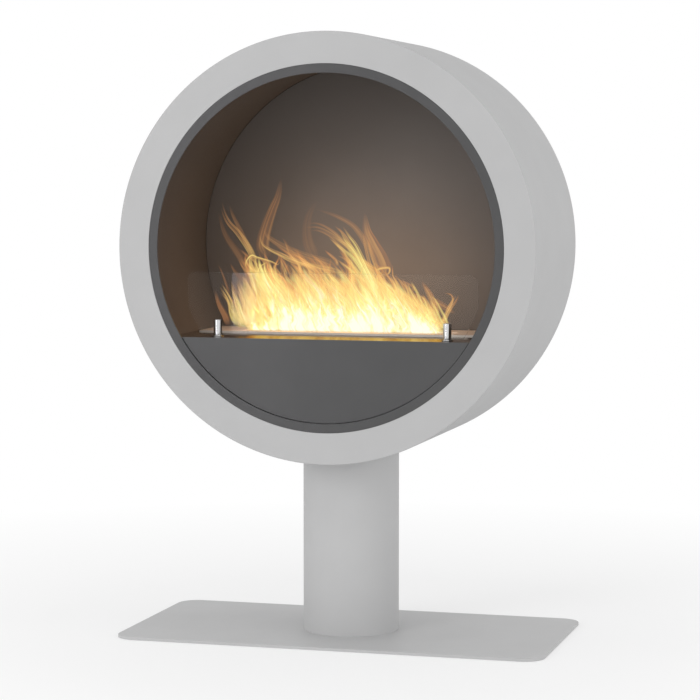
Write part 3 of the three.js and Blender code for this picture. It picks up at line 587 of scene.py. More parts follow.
@dataclass(frozen=True)
class FlameGlow:
    """Burning vapour: a UV map runs along each sheet and up it, and two attributes shape it.

    Attributes:
        name: The material's name.
        strength: How bright it is, where 1 is white.
        streaks: The number of streaks across the flow map and up it.
        gaps: How far the streaks open gaps, 0 to 1.
        swing: How much hotter and cooler the streaks are than what lies between them.
        stops: The colours from the coolest to the hottest.
        mirrored: The two tints of its image in glossy faces, which is deeper than the flame itself.
        warp: How far the streaks wander across the flow map and up it.
        warp_scale: How much finer their wandering is than the streaks up the flow map.
        patches: The patches of the two tints in a metre along the slot.
        gap_range: The noise between which a gap closes.
        swing_range: The noise between which a streak goes from cool to hot.
        patch_range: The noise between which the first tint turns into the second.
    """

    name: str
    strength: float
    streaks: Pair
    gaps: float
    swing: float
    stops: tuple[Stop, ...] = (
        (0.0, (0.72, 0.27, 0.09)), (0.22, (0.95, 0.40, 0.13)), (0.42, (1.0, 0.55, 0.19)),
        (0.62, (1.0, 0.80, 0.24)), (0.82, (1.0, 0.96, 0.36)), (1.0, (1.0, 1.0, 0.78)))
    mirrored: tuple[Colour, Colour] = ((0.62, 0.33, 0.10), (0.90, 0.60, 0.20))
    warp: Triple = (0.10, 0.25, 0.0)
    warp_scale: float = 1.6
    patches: Triple = (34.0, 0.0, 0.0)
    gap_range: Pair = (0.36, 0.60)
    swing_range: Pair = (0.38, 0.62)
    patch_range: Pair = (0.40, 0.56)

    def build(self) -> bpy.types.Material:
        """Build the flame's material.

        Returns:
            The material.
        """
        shader = ShaderTree(self.name)
        heat, cover = (shader.node("ShaderNodeAttribute", {"attribute_name": name}).outputs["Fac"]
                       for name in (FLAME_HEAT, FLAME_COVER))
        streaks = self._streaks(shader)
        thread = shader.spread(streaks, 1.0 - self.gaps, 1.0, *self.gap_range)
        cover = shader.math("MULTIPLY", cover, thread, clamp=True)
        swing = shader.spread(streaks, -self.swing, self.swing, *self.swing_range)
        colour = shader.ramp(shader.math("ADD", heat, swing, clamp=True), self.stops)
        path = shader.node("ShaderNodeLightPath").outputs
        mirrored = shader.math("SUBTRACT", path["Is Glossy Ray"], path["Is Transmission Ray"], clamp=True)
        patch = shader.noise(shader.stretched(self.patches), 1.0)
        patch = shader.spread(patch, 0.0, 1.0, *self.patch_range)
        tint = shader.blend(mirrored, WHITE, shader.blend(patch, *self.mirrored))
        seen = shader.blend(1.0, colour, tint, "MULTIPLY")
        glow = shader.node("ShaderNodeEmission", Color=seen, Strength=self.strength).outputs[0]
        clear = shader.node("ShaderNodeBsdfTransparent").outputs[0]
        shader.owner.cycles.emission_sampling = "NONE"
        return shader.finish(shader.mix(cover, clear, glow))

    def _streaks(self, shader: ShaderTree) -> Socket:
        """Add streaks that follow the flow map and wander a little.

        Args:
            shader: The flame's tree.

        Returns:
            The streaks' value.
        """
        flow = shader.node("ShaderNodeUVMap", {"uv_map": FLAME_FLOW}).outputs["UV"]
        warp = shader.node("ShaderNodeTexNoise", Vector=flow, Scale=self.streaks[1] * self.warp_scale,
                           Detail=2.0)
        pushed = shader.node("ShaderNodeVectorMath", {"operation": "MULTIPLY_ADD"})
        for socket, value in zip(pushed.inputs, (warp.outputs["Color"], Vector(self.warp), flow)):
            shader.feed(socket, value)
        drawn = shader.node("ShaderNodeMapping", Vector=pushed.outputs[0], Scale=(*self.streaks, 1.0))
        return shader.noise(drawn.outputs["Vector"], 1.0, 4.0)


@dataclass
class Palette:
    """Every finish of the fireplace, built once and shared by its pieces."""

    powder: Finish = Coating("light_grey_powder_coat", Slot.POWDER_COAT, (0.440, 0.440, 0.442),
                             (0.417, 0.417, 0.419), (0.50, 0.62), 900.0, 0.00003)
    # A lighter copy of the drum's powder coat: painted light where the drum shades the plate and the
    # column.
    stand: Finish = Coating("stand_powder_coat", Slot.POWDER_COAT, (0.490, 0.490, 0.492),
                            (0.465, 0.465, 0.467), (0.50, 0.62), 900.0, 0.00003)
    graphite: Finish = Coating("graphite_paint", Slot.GRAPHITE, (0.058, 0.058, 0.059),
                               (0.049, 0.049, 0.050), (0.30, 0.36), 1100.0, 0.00002)
    # A lighter copy of the graphite paint, darker towards its rim: painted light on the back pan, and
    # painted shade where it meets the liner.
    firebox: Finish = Coating("firebox_paint", Slot.GRAPHITE, (0.136, 0.135, 0.134),
                              (0.120, 0.119, 0.118), (0.50, 0.66), 1100.0, 0.00002, 0.3,
                              PaintedShading((0.098, 0.095, 0.093), (0.0, 0.0, 0.606), (1.0, 0.0, 1.0), 0.12, 0.30))
    # A lighter, warmer copy of the graphite paint, lighter still towards the rear: painted warm light from
    # the flame and painted light at the back.
    liner: Finish = Coating("liner_paint", Slot.GRAPHITE, (0.078, 0.074, 0.071), (0.066, 0.063, 0.060),
                            (0.50, 0.66), 1100.0, 0.00002, 0.3,
                            PaintedShading((0.092, 0.088, 0.083), (0.0, -0.157, 0.0), (0.0, 1.0, 0.0), 0.10, 0.31))
    deck: Finish = Coating("deck_paint", Slot.GRAPHITE, (0.066, 0.060, 0.055), (0.054, 0.049, 0.045),
                           (0.08, 0.13), 1100.0, 0.000004, 0.35)
    # Tinted warm: painted warm light from the flame on the burner's steel.
    steel: Finish = BrushedSteel("brushed_stainless", Slot.STAINLESS, (0.86, 0.79, 0.71),
                                 (0.74, 0.67, 0.60), (0.36, 0.50), (6.0, 900.0, 900.0), 0.00002, 0.55)
    bright: Finish = BrushedSteel("bright_stainless", Slot.STAINLESS, (0.80, 0.80, 0.80),
                                  (0.78, 0.78, 0.78), (0.11, 0.15), (900.0, 900.0, 40.0), 0.000001)
    zinc: Finish = ZincPlate("zinc_plate", Slot.ZINC, (0.60, 0.61, 0.62), (0.44, 0.45, 0.47))
    glass: Finish = ClearGlass("clear_glass", Slot.GLASS, WHITE, (0.996, 0.998, 0.998), 1.2)
    glass_edge: Finish = GroundEdge("ground_glass_edge", Slot.GLASS, (0.20, 0.21, 0.21), 0.10)
    wool: Finish = CeramicFibre("ceramic_fibre", Slot.WOOL, (0.78, 0.75, 0.69), (0.42, 0.36, 0.29))
    silicone: Finish = SiliconeRubber("silicone", Slot.SILICONE, (0.60, 0.60, 0.58), (0.50, 0.50, 0.49))
    _built: dict[str, bpy.types.Material] = field(default_factory=dict)

    def of(self, finish: Finish) -> bpy.types.Material:
        """Return a finish's material, built at its first use."""
        if finish.name not in self._built:
            self._built[finish.name] = finish.build()
        return self._built[finish.name]

    def dress(self, piece: Piece, finish: Finish, *replaces: str, body: Body = Body.DRUM) -> None:
        """Give a new piece its finish and the body that it rides on.

        Args:
            piece: The piece, in place.
            finish: Its finish.
            *replaces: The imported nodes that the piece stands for.
            body: The body that it rides on.
        """
        piece.data.materials.clear()
        piece.data.materials.append(self.of(finish))
        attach(piece, body.value)
        if replaces:
            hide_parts(*replaces)
        LOG.info("made %s on %s", piece.name, body.value)

    def paint(self, finish: Finish, *names: str) -> None:
        """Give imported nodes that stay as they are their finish.

        Args:
            finish: Their finish.
            *names: The nodes' names.
        """
        for name in names:
            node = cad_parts[name]
            if not node.data.materials:
                node.data.materials.append(self.of(finish))
            for material_slot in node.material_slots:
                material_slot.material = self.of(finish)
            LOG.info("painted %s", name)


# Mesh tools


def mesh_piece(name: str, points: Sequence[Place] | np.ndarray, faces: Sequence[Sequence[int]]) -> Piece:
    """Make an object from points and faces, and link it to the scene.

    Args:
        name: The object's name.
        points: X, Y and Z of each point.
        faces: The points' numbers round each face.

    Returns:
        The new object.
    """
    mesh = bpy.data.meshes.new(name)
    mesh.from_pydata([tuple(map(float, p)) for p in points], [], [tuple(map(int, f)) for f in faces])
    mesh.update()
    return linked(name, mesh)


def linked(name: str, data: bpy.types.ID) -> Piece:
    """Make an object that holds a mesh, a lamp or a camera, and link it to the scene.

    Args:
        name: The object's name.
        data: What it holds.

    Returns:
        The new object.
    """
    piece = bpy.data.objects.new(name, data)
    bpy.context.scene.collection.objects.link(piece)
    return piece


def tidy_mesh(piece: Piece, outwards: bool = True) -> Piece:
    """Merge a mesh's doubled points, and point its faces outwards.

    Args:
        piece: The piece.
        outwards: Whether its faces are pointed outwards.

    Returns:
        The piece.
    """
    work = bmesh.new()
    work.from_mesh(piece.data)
    bmesh.ops.remove_doubles(work, verts=work.verts, dist=WELD_DISTANCE)
    if outwards:
        bmesh.ops.recalc_face_normals(work, faces=work.faces)
    work.to_mesh(piece.data)
    work.free()
    piece.data.update()
    return piece


def settle(piece: Piece) -> Piece:
    """Turn a piece's modifiers into its plain mesh.

    Args:
        piece: The piece.

    Returns:
        The piece.
    """
    graph = bpy.context.evaluated_depsgraph_get()
    graph.update()
    made = bpy.data.meshes.new_from_object(piece.evaluated_get(graph))
    piece.modifiers.clear()
    old, piece.data = piece.data, made
    made.name = piece.name
    if old.users == 0:
        bpy.data.meshes.remove(old)
    return piece


def modified(piece: Piece, kind: str, **settings: object) -> Piece:
    """Put a modifier on a piece.

    Args:
        piece: The piece.
        kind: The modifier's type.
        **settings: The modifier's own settings.

    Returns:
        The piece, with the modifier still live.
    """
    modifier = piece.modifiers.new(kind.lower(), kind)
    for key, value in settings.items():
        setattr(modifier, key, value)
    return piece


def smooth(piece: Piece, angle: float = 32.0) -> Piece:
    """Shade a piece smoothly, and keep its flat faces flat.

    Args:
        piece: The piece.
        angle: The angle in degrees past which its edges are sharp.

    Returns:
        The piece.
    """
    piece.data.shade_smooth()
    piece.data.set_sharp_from_angle(angle=math.radians(angle))
    return settle(modified(piece, "WEIGHTED_NORMAL", mode="FACE_AREA", weight=100, keep_sharp=True))


def ease_edges(piece: Piece, width: float, segments: int = 2, angle: float = 40.0) -> Piece:
    """Round the edges sharper than an angle in degrees, as tumbled or folded sheet has them."""
    return smooth(settle(modified(piece, "BEVEL", width=width, segments=segments, limit_method="ANGLE",
                                  angle_limit=math.radians(angle))))


def worked_copy(node: str, name: str, width: float, segments: int = 2) -> Piece:
    """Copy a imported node, merge its loose triangles and ease its edges.

    Args:
        node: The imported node's name.
        name: The new piece's name.
        width: The eased edges' width.
        segments: The steps round an eased edge.

    Returns:
        The new piece.
    """
    piece = tidy_mesh(linked(name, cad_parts[node].data.copy()), outwards=False)
    work = bmesh.new()
    work.from_mesh(piece.data)
    bmesh.ops.dissolve_limit(work, angle_limit=FLAT_ANGLE, verts=work.verts, edges=work.edges)
    work.to_mesh(piece.data)
    work.free()
    return ease_edges(piece, width, segments)


def eased(corners: Sequence[Triple], steps: int = 4) -> list[Point]:
    """Round the corners of a closed profile.

    Args:
        corners: Radius, height and corner radius of each corner.
        steps: The steps round each corner.

    Returns:
        The profile's points.
    """
    points: list[Point] = []
    for index, (radius, height, bend) in enumerate(corners):
        if bend <= 0.0:
            points.append((radius, height))
            continue
        here = np.array((radius, height))
        before = np.array(corners[index - 1][:2]) - here
        after = np.array(corners[(index + 1) % len(corners)][:2]) - here
        before, after = before / np.linalg.norm(before), after / np.linalg.norm(after)
        half = math.acos(float(np.clip(before @ after, -1.0, 1.0))) / 2.0
        middle = (before + after) / np.linalg.norm(before + after)
        centre = here + middle * bend / math.sin(half)
        first = here + before * bend / math.tan(half) - centre
        last = here + after * bend / math.tan(half) - centre
        start = math.atan2(first[1], first[0])
        turn = (math.atan2(last[1], last[0]) - start + math.pi) % FULL_TURN - math.pi
        points += arc(bend, start, start + turn, steps, tuple(centre))
    return points


def arc(radius: float, start: float, stop: float, steps: int, centre: Point = (0.0, 0.0)) -> list[Point]:
    """Return points along an arc, with its angles in radians."""
    return [(centre[0] + radius * math.cos(a), centre[1] + radius * math.sin(a))
            for a in np.linspace(start, stop, steps + 1)]


def turned(name: str, profile: Sequence[Point], axis: TurnAxis = TurnAxis.UPRIGHT,
           centre: Vector = ORIGIN, segments: int = 256) -> Piece:
    """Turn a closed profile round an axis.

    Args:
        name: The piece's name.
        profile: Radius and height of each point; a radius of 0 is on the axis.
        axis: The way the axis points: heights run along +Y or +Z.
        centre: A point on the axis, where heights start.
        segments: The flats round the piece.

    Returns:
        The new piece.
    """
    rows: list[list[int]] = []
    points: list[Place] = []
    for radius, height in profile:
        count = 1 if radius < WELD_DISTANCE else segments
        rows.append(list(range(len(points), len(points) + count)))
        for step in range(count):
            angle = FULL_TURN * (step + 0.5) / segments
            aside, up = radius * math.sin(angle), radius * math.cos(angle)
            place = (aside, height, up) if axis is TurnAxis.DRUM else (aside, up, height)
            points.append(tuple(centre[k] + place[k] for k in range(3)))
    faces: list[list[int]] = []
    for row, following in zip(rows, rows[1:] + rows[:1]):
        if len(row) == 1 and len(following) == 1:
            continue
        for step in range(segments):
            after = (step + 1) % segments
            loop = (row[step % len(row)], row[after % len(row)],
                    following[after % len(following)], following[step % len(following)])
            faces.append(list(dict.fromkeys(loop)))
    return smooth(tidy_mesh(mesh_piece(name, points, faces)))


def slab(name: str, outline: Sequence[Point], low: float, high: float, upright: bool = False) -> Piece:
    """Thicken a flat outline between two faces.

    Args:
        name: The piece's name.
        outline: The outline's points, in X and Y, or in X and Z if it stands upright.
        low: Height, or Y, of the first face.
        high: Height, or Y, of the second face.
        upright: Whether the outline stands in X and Z.

    Returns:
        The new piece.
    """
    count = len(outline)
    points = [((a, level, b) if upright else (a, b, level)) for level in (low, high) for a, b in outline]
    faces = [list(range(count)), list(range(2 * count - 1, count - 1, -1))]
    faces += [[i, (i + 1) % count, count + (i + 1) % count, count + i] for i in range(count)]
    return tidy_mesh(mesh_piece(name, points, faces))


def box_piece(name: str, low: Sequence[float], high: Sequence[float]) -> Piece:
    """Make a box between two corners."""
    outline = [(low[0], low[1]), (high[0], low[1]), (high[0], high[1]), (low[0], high[1])]
    return slab(name, outline, low[2], high[2])


def carve(piece: Piece, tool: Piece) -> Piece:
    """Cut a tool out of a piece, and remove the tool.

    Args:
        piece: The piece.
        tool: The shape that is cut out of it.

    Returns:
        The piece.
    """
    settle(modified(piece, "BOOLEAN", operation="DIFFERENCE", solver="EXACT", object=tool))
    bpy.data.objects.remove(tool)
    return tidy_mesh(piece, outwards=False)


def numbered(name: str, count: int) -> list[str]:
    """Return the names of a numbered set of nodes."""
    return [f"{name}_{index + 1}" for index in range(count)]


# Fasteners, set out by Geometry Nodes


class Fastener(Enum):
    """The kinds of small fastener."""

    DOME_SCREW = "dome_screw"
    HEX_NUT = "hex_nut"
    RIVET = "rivet"
    COUNTERSUNK = "countersunk_screw"


@dataclass(frozen=True)
class Fixing:
    """A small fastener and its sizes.

    Attributes:
        kind: Which fastener it is.
        shank: The shank's or bore's diameter.
        head: The head's diameter, or the nut's size across its flats.
        height: The head's or nut's height.
        length: The shank's length below the seat.
        radial: Whether it points outwards from its ring, and not along the ring's axis.
        nut_bevel: The nut's eased edges, as a share of its height.
        crown_reach: The angle in radians at which a domed head's crown is cut flat.
        key_width: The socket's width, as a share of the head's.
        key_depth: The socket's depth, as a share of the head's height.
    """

    kind: Fastener
    shank: float
    head: float
    height: float
    length: float = 0.0
    radial: bool = False
    nut_bevel: float = 0.08
    crown_reach: float = 1.25
    key_width: float = 0.48
    key_depth: float = 0.6

    def make(self) -> Piece:
        """Make the fastener with its seat at the origin and its head towards +Z, or +Y if radial.

        Returns:
            The fastener, to be set out and then removed.
        """
        made = self._nut() if self.kind is Fastener.HEX_NUT else self._headed()
        if self.radial:
            made.data.transform(Matrix.Rotation(math.radians(-90.0), 4, "X"))
        return made

    def _nut(self) -> Piece:
        """Make a hexagonal nut with its bore.

        Returns:
            The nut.
        """
        corner = self.head / 2.0 / math.cos(math.pi / 6.0)
        nut = slab(self.kind.value, arc(corner, 0.0, FULL_TURN, 6)[:-1], 0.0, self.height)
        low, high, bore = -self.height, 2.0 * self.height, self.shank / 2.0
        hole = turned("bore", [(0.0, low), (bore, low), (bore, high), (0.0, high)], segments=24)
        return ease_edges(carve(nut, hole), self.height * self.nut_bevel, 1, 45.0)

    def _headed(self) -> Piece:
        """Make a rivet, or a screw with its hexagonal socket.

        Returns:
            The rivet or screw.
        """
        half, shank = self.head / 2.0, self.shank / 2.0
        profile = [(0.0, -self.length), (shank, -self.length)]
        if self.kind is Fastener.COUNTERSUNK:
            top = 0.0
            profile += [(shank, -self.height), (half, -0.0001), (half, top), (0.0, top)]
        else:
            crown = [(half * math.cos(a), self.height * math.sin(a))
                     for a in np.linspace(0.0, self.crown_reach, 7)]
            top = crown[-1][1]
            profile += [(shank, 0.0), *crown, (0.0, top)]
        screw = turned(self.kind.value, profile, segments=32)
        if self.kind is Fastener.RIVET:
            return screw
        key = arc(half * self.key_width, 0.0, FULL_TURN, 6)[:-1]
        depth = self.height * self.key_depth
        return smooth(carve(screw, slab("socket", key, top - depth, top + self.height)))


NUT = Fixing(Fastener.HEX_NUT, 0.0042, 0.007, 0.0032)
DECK_SCREW = Fixing(Fastener.COUNTERSUNK, 0.004, 0.0074, 0.0019, 0.006)
COVER_SCREW = Fixing(Fastener.DOME_SCREW, 0.004, 0.008, 0.0022, 0.0055)
RIVET = Fixing(Fastener.RIVET, 0.0039, 0.0072, 0.0011, 0.0036, radial=True)


class SettingOut:
    """Geometry Nodes trees that set zinc-plated fasteners out in rings and grids."""

    def __init__(self, palette: Palette) -> None:
        """Build both trees.

        Args:
            palette: The fireplace's finishes.
        """
        self.palette = palette
        self.ring_tree = self._tree("fastener_ring", {"Count": "Int", "Radius": "Float"}, self._ring_points)
        self.grid_tree = self._tree("fastener_grid", {"Columns": "Int", "Rows": "Int", "Width": "Float",
                                                      "Depth": "Float"}, self._grid_points)

    @staticmethod
    def _tree(name: str, sizes: dict[str, str],
              points: Callable[[NodeTree, bpy.types.bpy_prop_collection], dict]) -> bpy.types.NodeTree:
        """Build a tree that puts a fastener on points, turns it into a mesh and gives it a material.

        Args:
            name: The tree's name.
            sizes: Its number inputs, by name, with their socket types.
            points: Adds the nodes that make the points, and returns how instances go on them.

        Returns:
            The tree.
        """
        nodes = NodeTree(bpy.data.node_groups.new(name, "GeometryNodeTree"))
        nodes.tree.interface.new_socket("Geometry", in_out="OUTPUT", socket_type="NodeSocketGeometry")
        common = {"Fastener": "Object", "Finish": "Material", "Place": "Vector", "Tilt": "Rotation"}
        for label, kind in {**common, **sizes}.items():
            nodes.tree.interface.new_socket(label, in_out="INPUT", socket_type=f"NodeSocket{kind}")
        given = nodes.node("NodeGroupInput").outputs
        part = nodes.node("GeometryNodeObjectInfo", Object=given["Fastener"])
        put = nodes.node("GeometryNodeInstanceOnPoints", Instance=part.outputs["Geometry"],
                         **points(nodes, given))
        turn = nodes.node("GeometryNodeTransform", Geometry=put.outputs[0], Translation=given["Place"],
                          Rotation=given["Tilt"])
        solid = nodes.node("GeometryNodeRealizeInstances", Geometry=turn.outputs[0])
        paint = nodes.node("GeometryNodeSetMaterial", Geometry=solid.outputs[0], Material=given["Finish"])
        nodes.node("NodeGroupOutput", Geometry=paint.outputs[0])
        return nodes.tree

    @staticmethod
    def _ring_points(nodes: NodeTree, given: bpy.types.bpy_prop_collection) -> dict:
        """Add points evenly round Z, the first half a step from +Y, each turned outwards.

        Args:
            nodes: The tree.
            given: The tree's inputs.

        Returns:
            The points and their turns.
        """
        index = nodes.node("GeometryNodeInputIndex").outputs[0]
        share = nodes.math("DIVIDE", nodes.math("ADD", index, 0.5), given["Count"])
        angle = nodes.math("MULTIPLY", share, FULL_TURN)
        aside, ahead = (nodes.math("MULTIPLY", nodes.math(wave, angle), given["Radius"])
                        for wave in ("SINE", "COSINE"))
        place = nodes.node("ShaderNodeCombineXYZ", X=aside, Y=ahead)
        points = nodes.node("GeometryNodePoints", Count=given["Count"], Position=place.outputs[0])
        spin = nodes.node("ShaderNodeCombineXYZ", Z=nodes.math("MULTIPLY", angle, -1.0))
        turn = nodes.node("FunctionNodeEulerToRotation", Euler=spin.outputs[0])
        return {"Points": points.outputs[0], "Rotation": turn.outputs[0]}

    @staticmethod
    def _grid_points(nodes: NodeTree, given: bpy.types.bpy_prop_collection) -> dict:
        """Return a grid of points in X and Y round the origin."""
        grid = nodes.node("GeometryNodeMeshGrid", Size_X=given["Width"], Size_Y=given["Depth"],
                          Vertices_X=given["Columns"], Vertices_Y=given["Rows"])
        return {"Points": grid.outputs["Mesh"]}

    def set_out(self, name: str, fixing: Fixing, place: Vector, tilt: Triple, *replaces: str,
                **sizes: float) -> None:
        """Set fasteners out in a ring or a grid, and keep them as one plain mesh.

        Args:
            name: The new piece's name.
            fixing: The fastener.
            place: The middle of the ring or grid.
            tilt: Its turn in degrees about X, Y and Z.
            *replaces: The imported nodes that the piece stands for.
            **sizes: Count and Radius of a ring, or Columns, Rows, Width and Depth of a grid.
        """
        part = fixing.make()
        tree = self.ring_tree if "Radius" in sizes else self.grid_tree
        piece = modified(mesh_piece(name, [ORIGIN], []), "NODES", node_group=tree)
        values = {"Fastener": part, "Finish": self.palette.of(self.palette.zinc), "Place": place,
                  "Tilt": tuple(math.radians(a) for a in tilt), **sizes}
        for item in tree.interface.items_tree:
            if item.item_type == "SOCKET" and item.in_out == "INPUT":
                piece.modifiers[0][item.identifier] = values[item.name]
        piece.update_tag()
        bpy.context.view_layer.update()
        settle(piece)
        bpy.data.objects.remove(part)
        self.palette.dress(piece, self.palette.zinc, *replaces)


# Sub-assemblies


@dataclass(frozen=True)
class DrumSizes:
    """The drum's sizes, from its axis and its middle."""

    axis_height: float = 0.606
    radius: float = 0.325
    shell_wall: float = 0.002
    front: float = -0.159
    face_back: float = -0.157
    rear: float = 0.159
    cover_front: float = 0.1575
    hole: float = 0.277
    lip_inner: float = 0.263
    lip_flange: float = 0.2904
    lip_back: float = -0.1555
    liner_inner: float = 0.291
    liner_outer: float = 0.2925
    liner_rear: float = 0.155
    back_front: float = 0.148
    back_outer: float = 0.2907
    deck_top: float = -0.137

    def at(self, depth: float = 0.0, height: float = 0.0) -> Vector:
        """Return the place at a depth and a height from the drum's middle."""
        return Vector((0.0, 0.0, self.axis_height)) + Vector((0.0, depth, height))


DRUM = DrumSizes()


def drum_part(name: str, corners: Sequence[Triple]) -> Piece:
    """Turn a sheet part round the drum's axis, from radius, depth and bend of its corners."""
    return turned(name, eased(corners), TurnAxis.DRUM, DRUM.at())


@dataclass
class Assembly:
    """A sub-assembly, which makes its pieces with the shared finishes and fasteners."""

    palette: Palette
    setting: SettingOut

    def make(self) -> None:
        """Make the sub-assembly's pieces."""
        raise NotImplementedError


@dataclass
class Stand(Assembly):
    """The base plate, the column and what joins them."""

    edge: float = 0.0006
    column_radius: float = 0.075
    column_wall: float = 0.002
    column_foot: float = 0.004
    seat_gap: float = 0.0003

    def make(self) -> None:
        """Make the stand's pieces."""
        # The stand's coat is painted lighter than the drum's, as light in place of the drum's shade.
        coat, zinc = self.palette.stand, self.palette.zinc
        self.palette.dress(worked_copy("base_plate", "floor_plate", self.edge, 3), coat, "base_plate")
        self.palette.dress(self._column(), coat, "column_tube")
        self.palette.paint(coat, "foot_flange", "column_saddle")
        self.palette.paint(zinc, "drum_doubler", *numbered("foot_screw", 4), *numbered("saddle_bolt", 4))

    def _column(self) -> Piece:
        """Make the round column, coped to the drum's underside.

        Returns:
            The column.
        """
        outer, foot, top = self.column_radius, self.column_foot, DRUM.axis_height
        inner = outer - self.column_wall
        tube = turned("round_column", [(inner, foot), (outer, foot), (outer, top), (inner, top)],
                      segments=192)
        reach = DRUM.radius + self.seat_gap
        drum = drum_part("drum_space", [(0.0, DRUM.front, 0.0), (reach, DRUM.front, 0.0),
                                        (reach, DRUM.rear, 0.0), (0.0, DRUM.rear, 0.0)])
        return smooth(carve(tube, drum))


@dataclass
class Casing(Assembly):
    """The drum's shell, its front ring and its rear cover."""

    face_bend: float = 0.0012
    fine_bend: float = 0.0003
    cover_gap: float = 0.0006
    screw_ring: float = 0.31585

    def make(self) -> None:
        """Make the casing's pieces."""
        coat, fine, outer = self.palette.powder, self.fine_bend, DRUM.radius
        inner = outer - DRUM.shell_wall
        self.palette.dress(drum_part("drum_casing", [
            (outer, DRUM.face_back, 0.0), (outer, DRUM.rear, fine), (inner, DRUM.rear, fine),
            (inner, DRUM.face_back, 0.0)]), coat, "drum_shell")
        self.palette.dress(drum_part("drum_face", [
            (DRUM.hole, DRUM.front, fine), (outer, DRUM.front, self.face_bend),
            (outer, DRUM.face_back, 0.0), (DRUM.hole, DRUM.face_back, 0.0)]), coat, "front_ring")
        edge = inner - self.cover_gap
        self.palette.dress(drum_part("rear_cover_sheet", [
            (0.0, DRUM.cover_front, 0.0), (edge, DRUM.cover_front, 0.0), (edge, DRUM.rear, fine),
            (0.0, DRUM.rear, 0.0)]), coat, "rear_cover")
        self.palette.paint(coat, "rear_ring")
        self.setting.set_out("cover_screws", COVER_SCREW, DRUM.at(DRUM.rear), BACKWARDS,
                             *numbered("cover_screw", 8), Count=8, Radius=self.screw_ring)


@dataclass
class Firebox(Assembly):
    """The lip, the liner and the round back."""

    seat_gap: float = 0.0003
    lip_bend: float = 0.0005
    back_bend: float = 0.001
    sheet: float = 0.0015
    stud_ring: float = 0.2837
    rivet_y: float = 0.152

    def make(self) -> None:
        """Make the firebox's pieces."""
        bend, rim, face = self.lip_bend, DRUM.hole - self.seat_gap, DRUM.face_back
        self.palette.dress(drum_part("opening_lip", [
            (DRUM.lip_inner, DRUM.front, bend), (rim, DRUM.front, bend), (rim, face, 0.0),
            (DRUM.lip_flange, face, 0.0), (DRUM.lip_flange, DRUM.lip_back, 0.0),
            (DRUM.lip_inner, DRUM.lip_back, bend)]), self.palette.graphite, "lip_ring")
        inner, outer, rear = DRUM.liner_inner, DRUM.liner_outer, DRUM.liner_rear
        self.palette.dress(drum_part("firebox_wall", [
            (inner, face, 0.0), (outer, face, 0.0), (outer, rear, 0.0), (inner, rear, 0.0)]),
            self.palette.liner, "firebox_liner")
        outer, front = DRUM.back_outer, DRUM.back_front
        inner, back = outer - self.sheet, front + self.sheet
        self.palette.dress(drum_part("firebox_back_pan", [
            (0.0, front, 0.0), (outer, front, self.back_bend), (outer, rear, 0.0), (inner, rear, 0.0),
            (inner, back, 0.0), (0.0, back, 0.0)]), self.palette.firebox, "firebox_back")
        self.palette.paint(self.palette.zinc, *numbered("liner_bracket", 4))
        self.setting.set_out("lip_nuts", NUT, DRUM.at(DRUM.lip_back), BACKWARDS, Count=6,
                             Radius=self.stud_ring)
        self.setting.set_out("firebox_rivets", RIVET, DRUM.at(self.rivet_y), BACKWARDS, Count=8,
                             Radius=DRUM.liner_outer)


@dataclass
class Hearth(Assembly):
    """The deck under the burner and the panel that closes the drum below it."""

    edge: float = 0.0004
    deck_screw_x: float = 0.22622
    deck_screw_front: float = -0.0165
    deck_screw_rear: float = 0.0385
    stud_spacing: float = 0.12
    stud_z: float = -0.1515
    flange_back: float = -0.1529
    lower_stud_rise: float = 0.042

    def make(self) -> None:
        """Make the hearth's pieces."""
        deck, panel = self.palette.deck, self.palette.graphite
        self.palette.dress(worked_copy("hearth_deck", "deck_sheet", self.edge), deck, "hearth_deck")
        self.palette.dress(worked_copy("front_panel", "panel_sheet", self.edge), panel, "front_panel")
        self.palette.paint(self.palette.zinc, "deck_support_left", "deck_support_right")
        self.palette.paint(panel, "panel_bracket")
        front, rear = self.deck_screw_front, self.deck_screw_rear
        self.setting.set_out("deck_screws", DECK_SCREW, DRUM.at((front + rear) / 2.0, DRUM.deck_top),
                             (0.0, 0.0, 0.0), Columns=2, Rows=2, Width=2.0 * self.deck_screw_x,
                             Depth=rear - front)
        self.setting.set_out("panel_nuts", NUT, DRUM.at(self.flange_back, self.stud_z), BACKWARDS,
                             Columns=3, Rows=1, Width=2.0 * self.stud_spacing, Depth=0.0)
        stud_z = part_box("panel_bracket")[0][2] + self.lower_stud_rise
        self.setting.set_out("bracket_nut", NUT, Vector((0.0, self.flange_back, stud_z)), BACKWARDS,
                             Count=1, Radius=0.0)


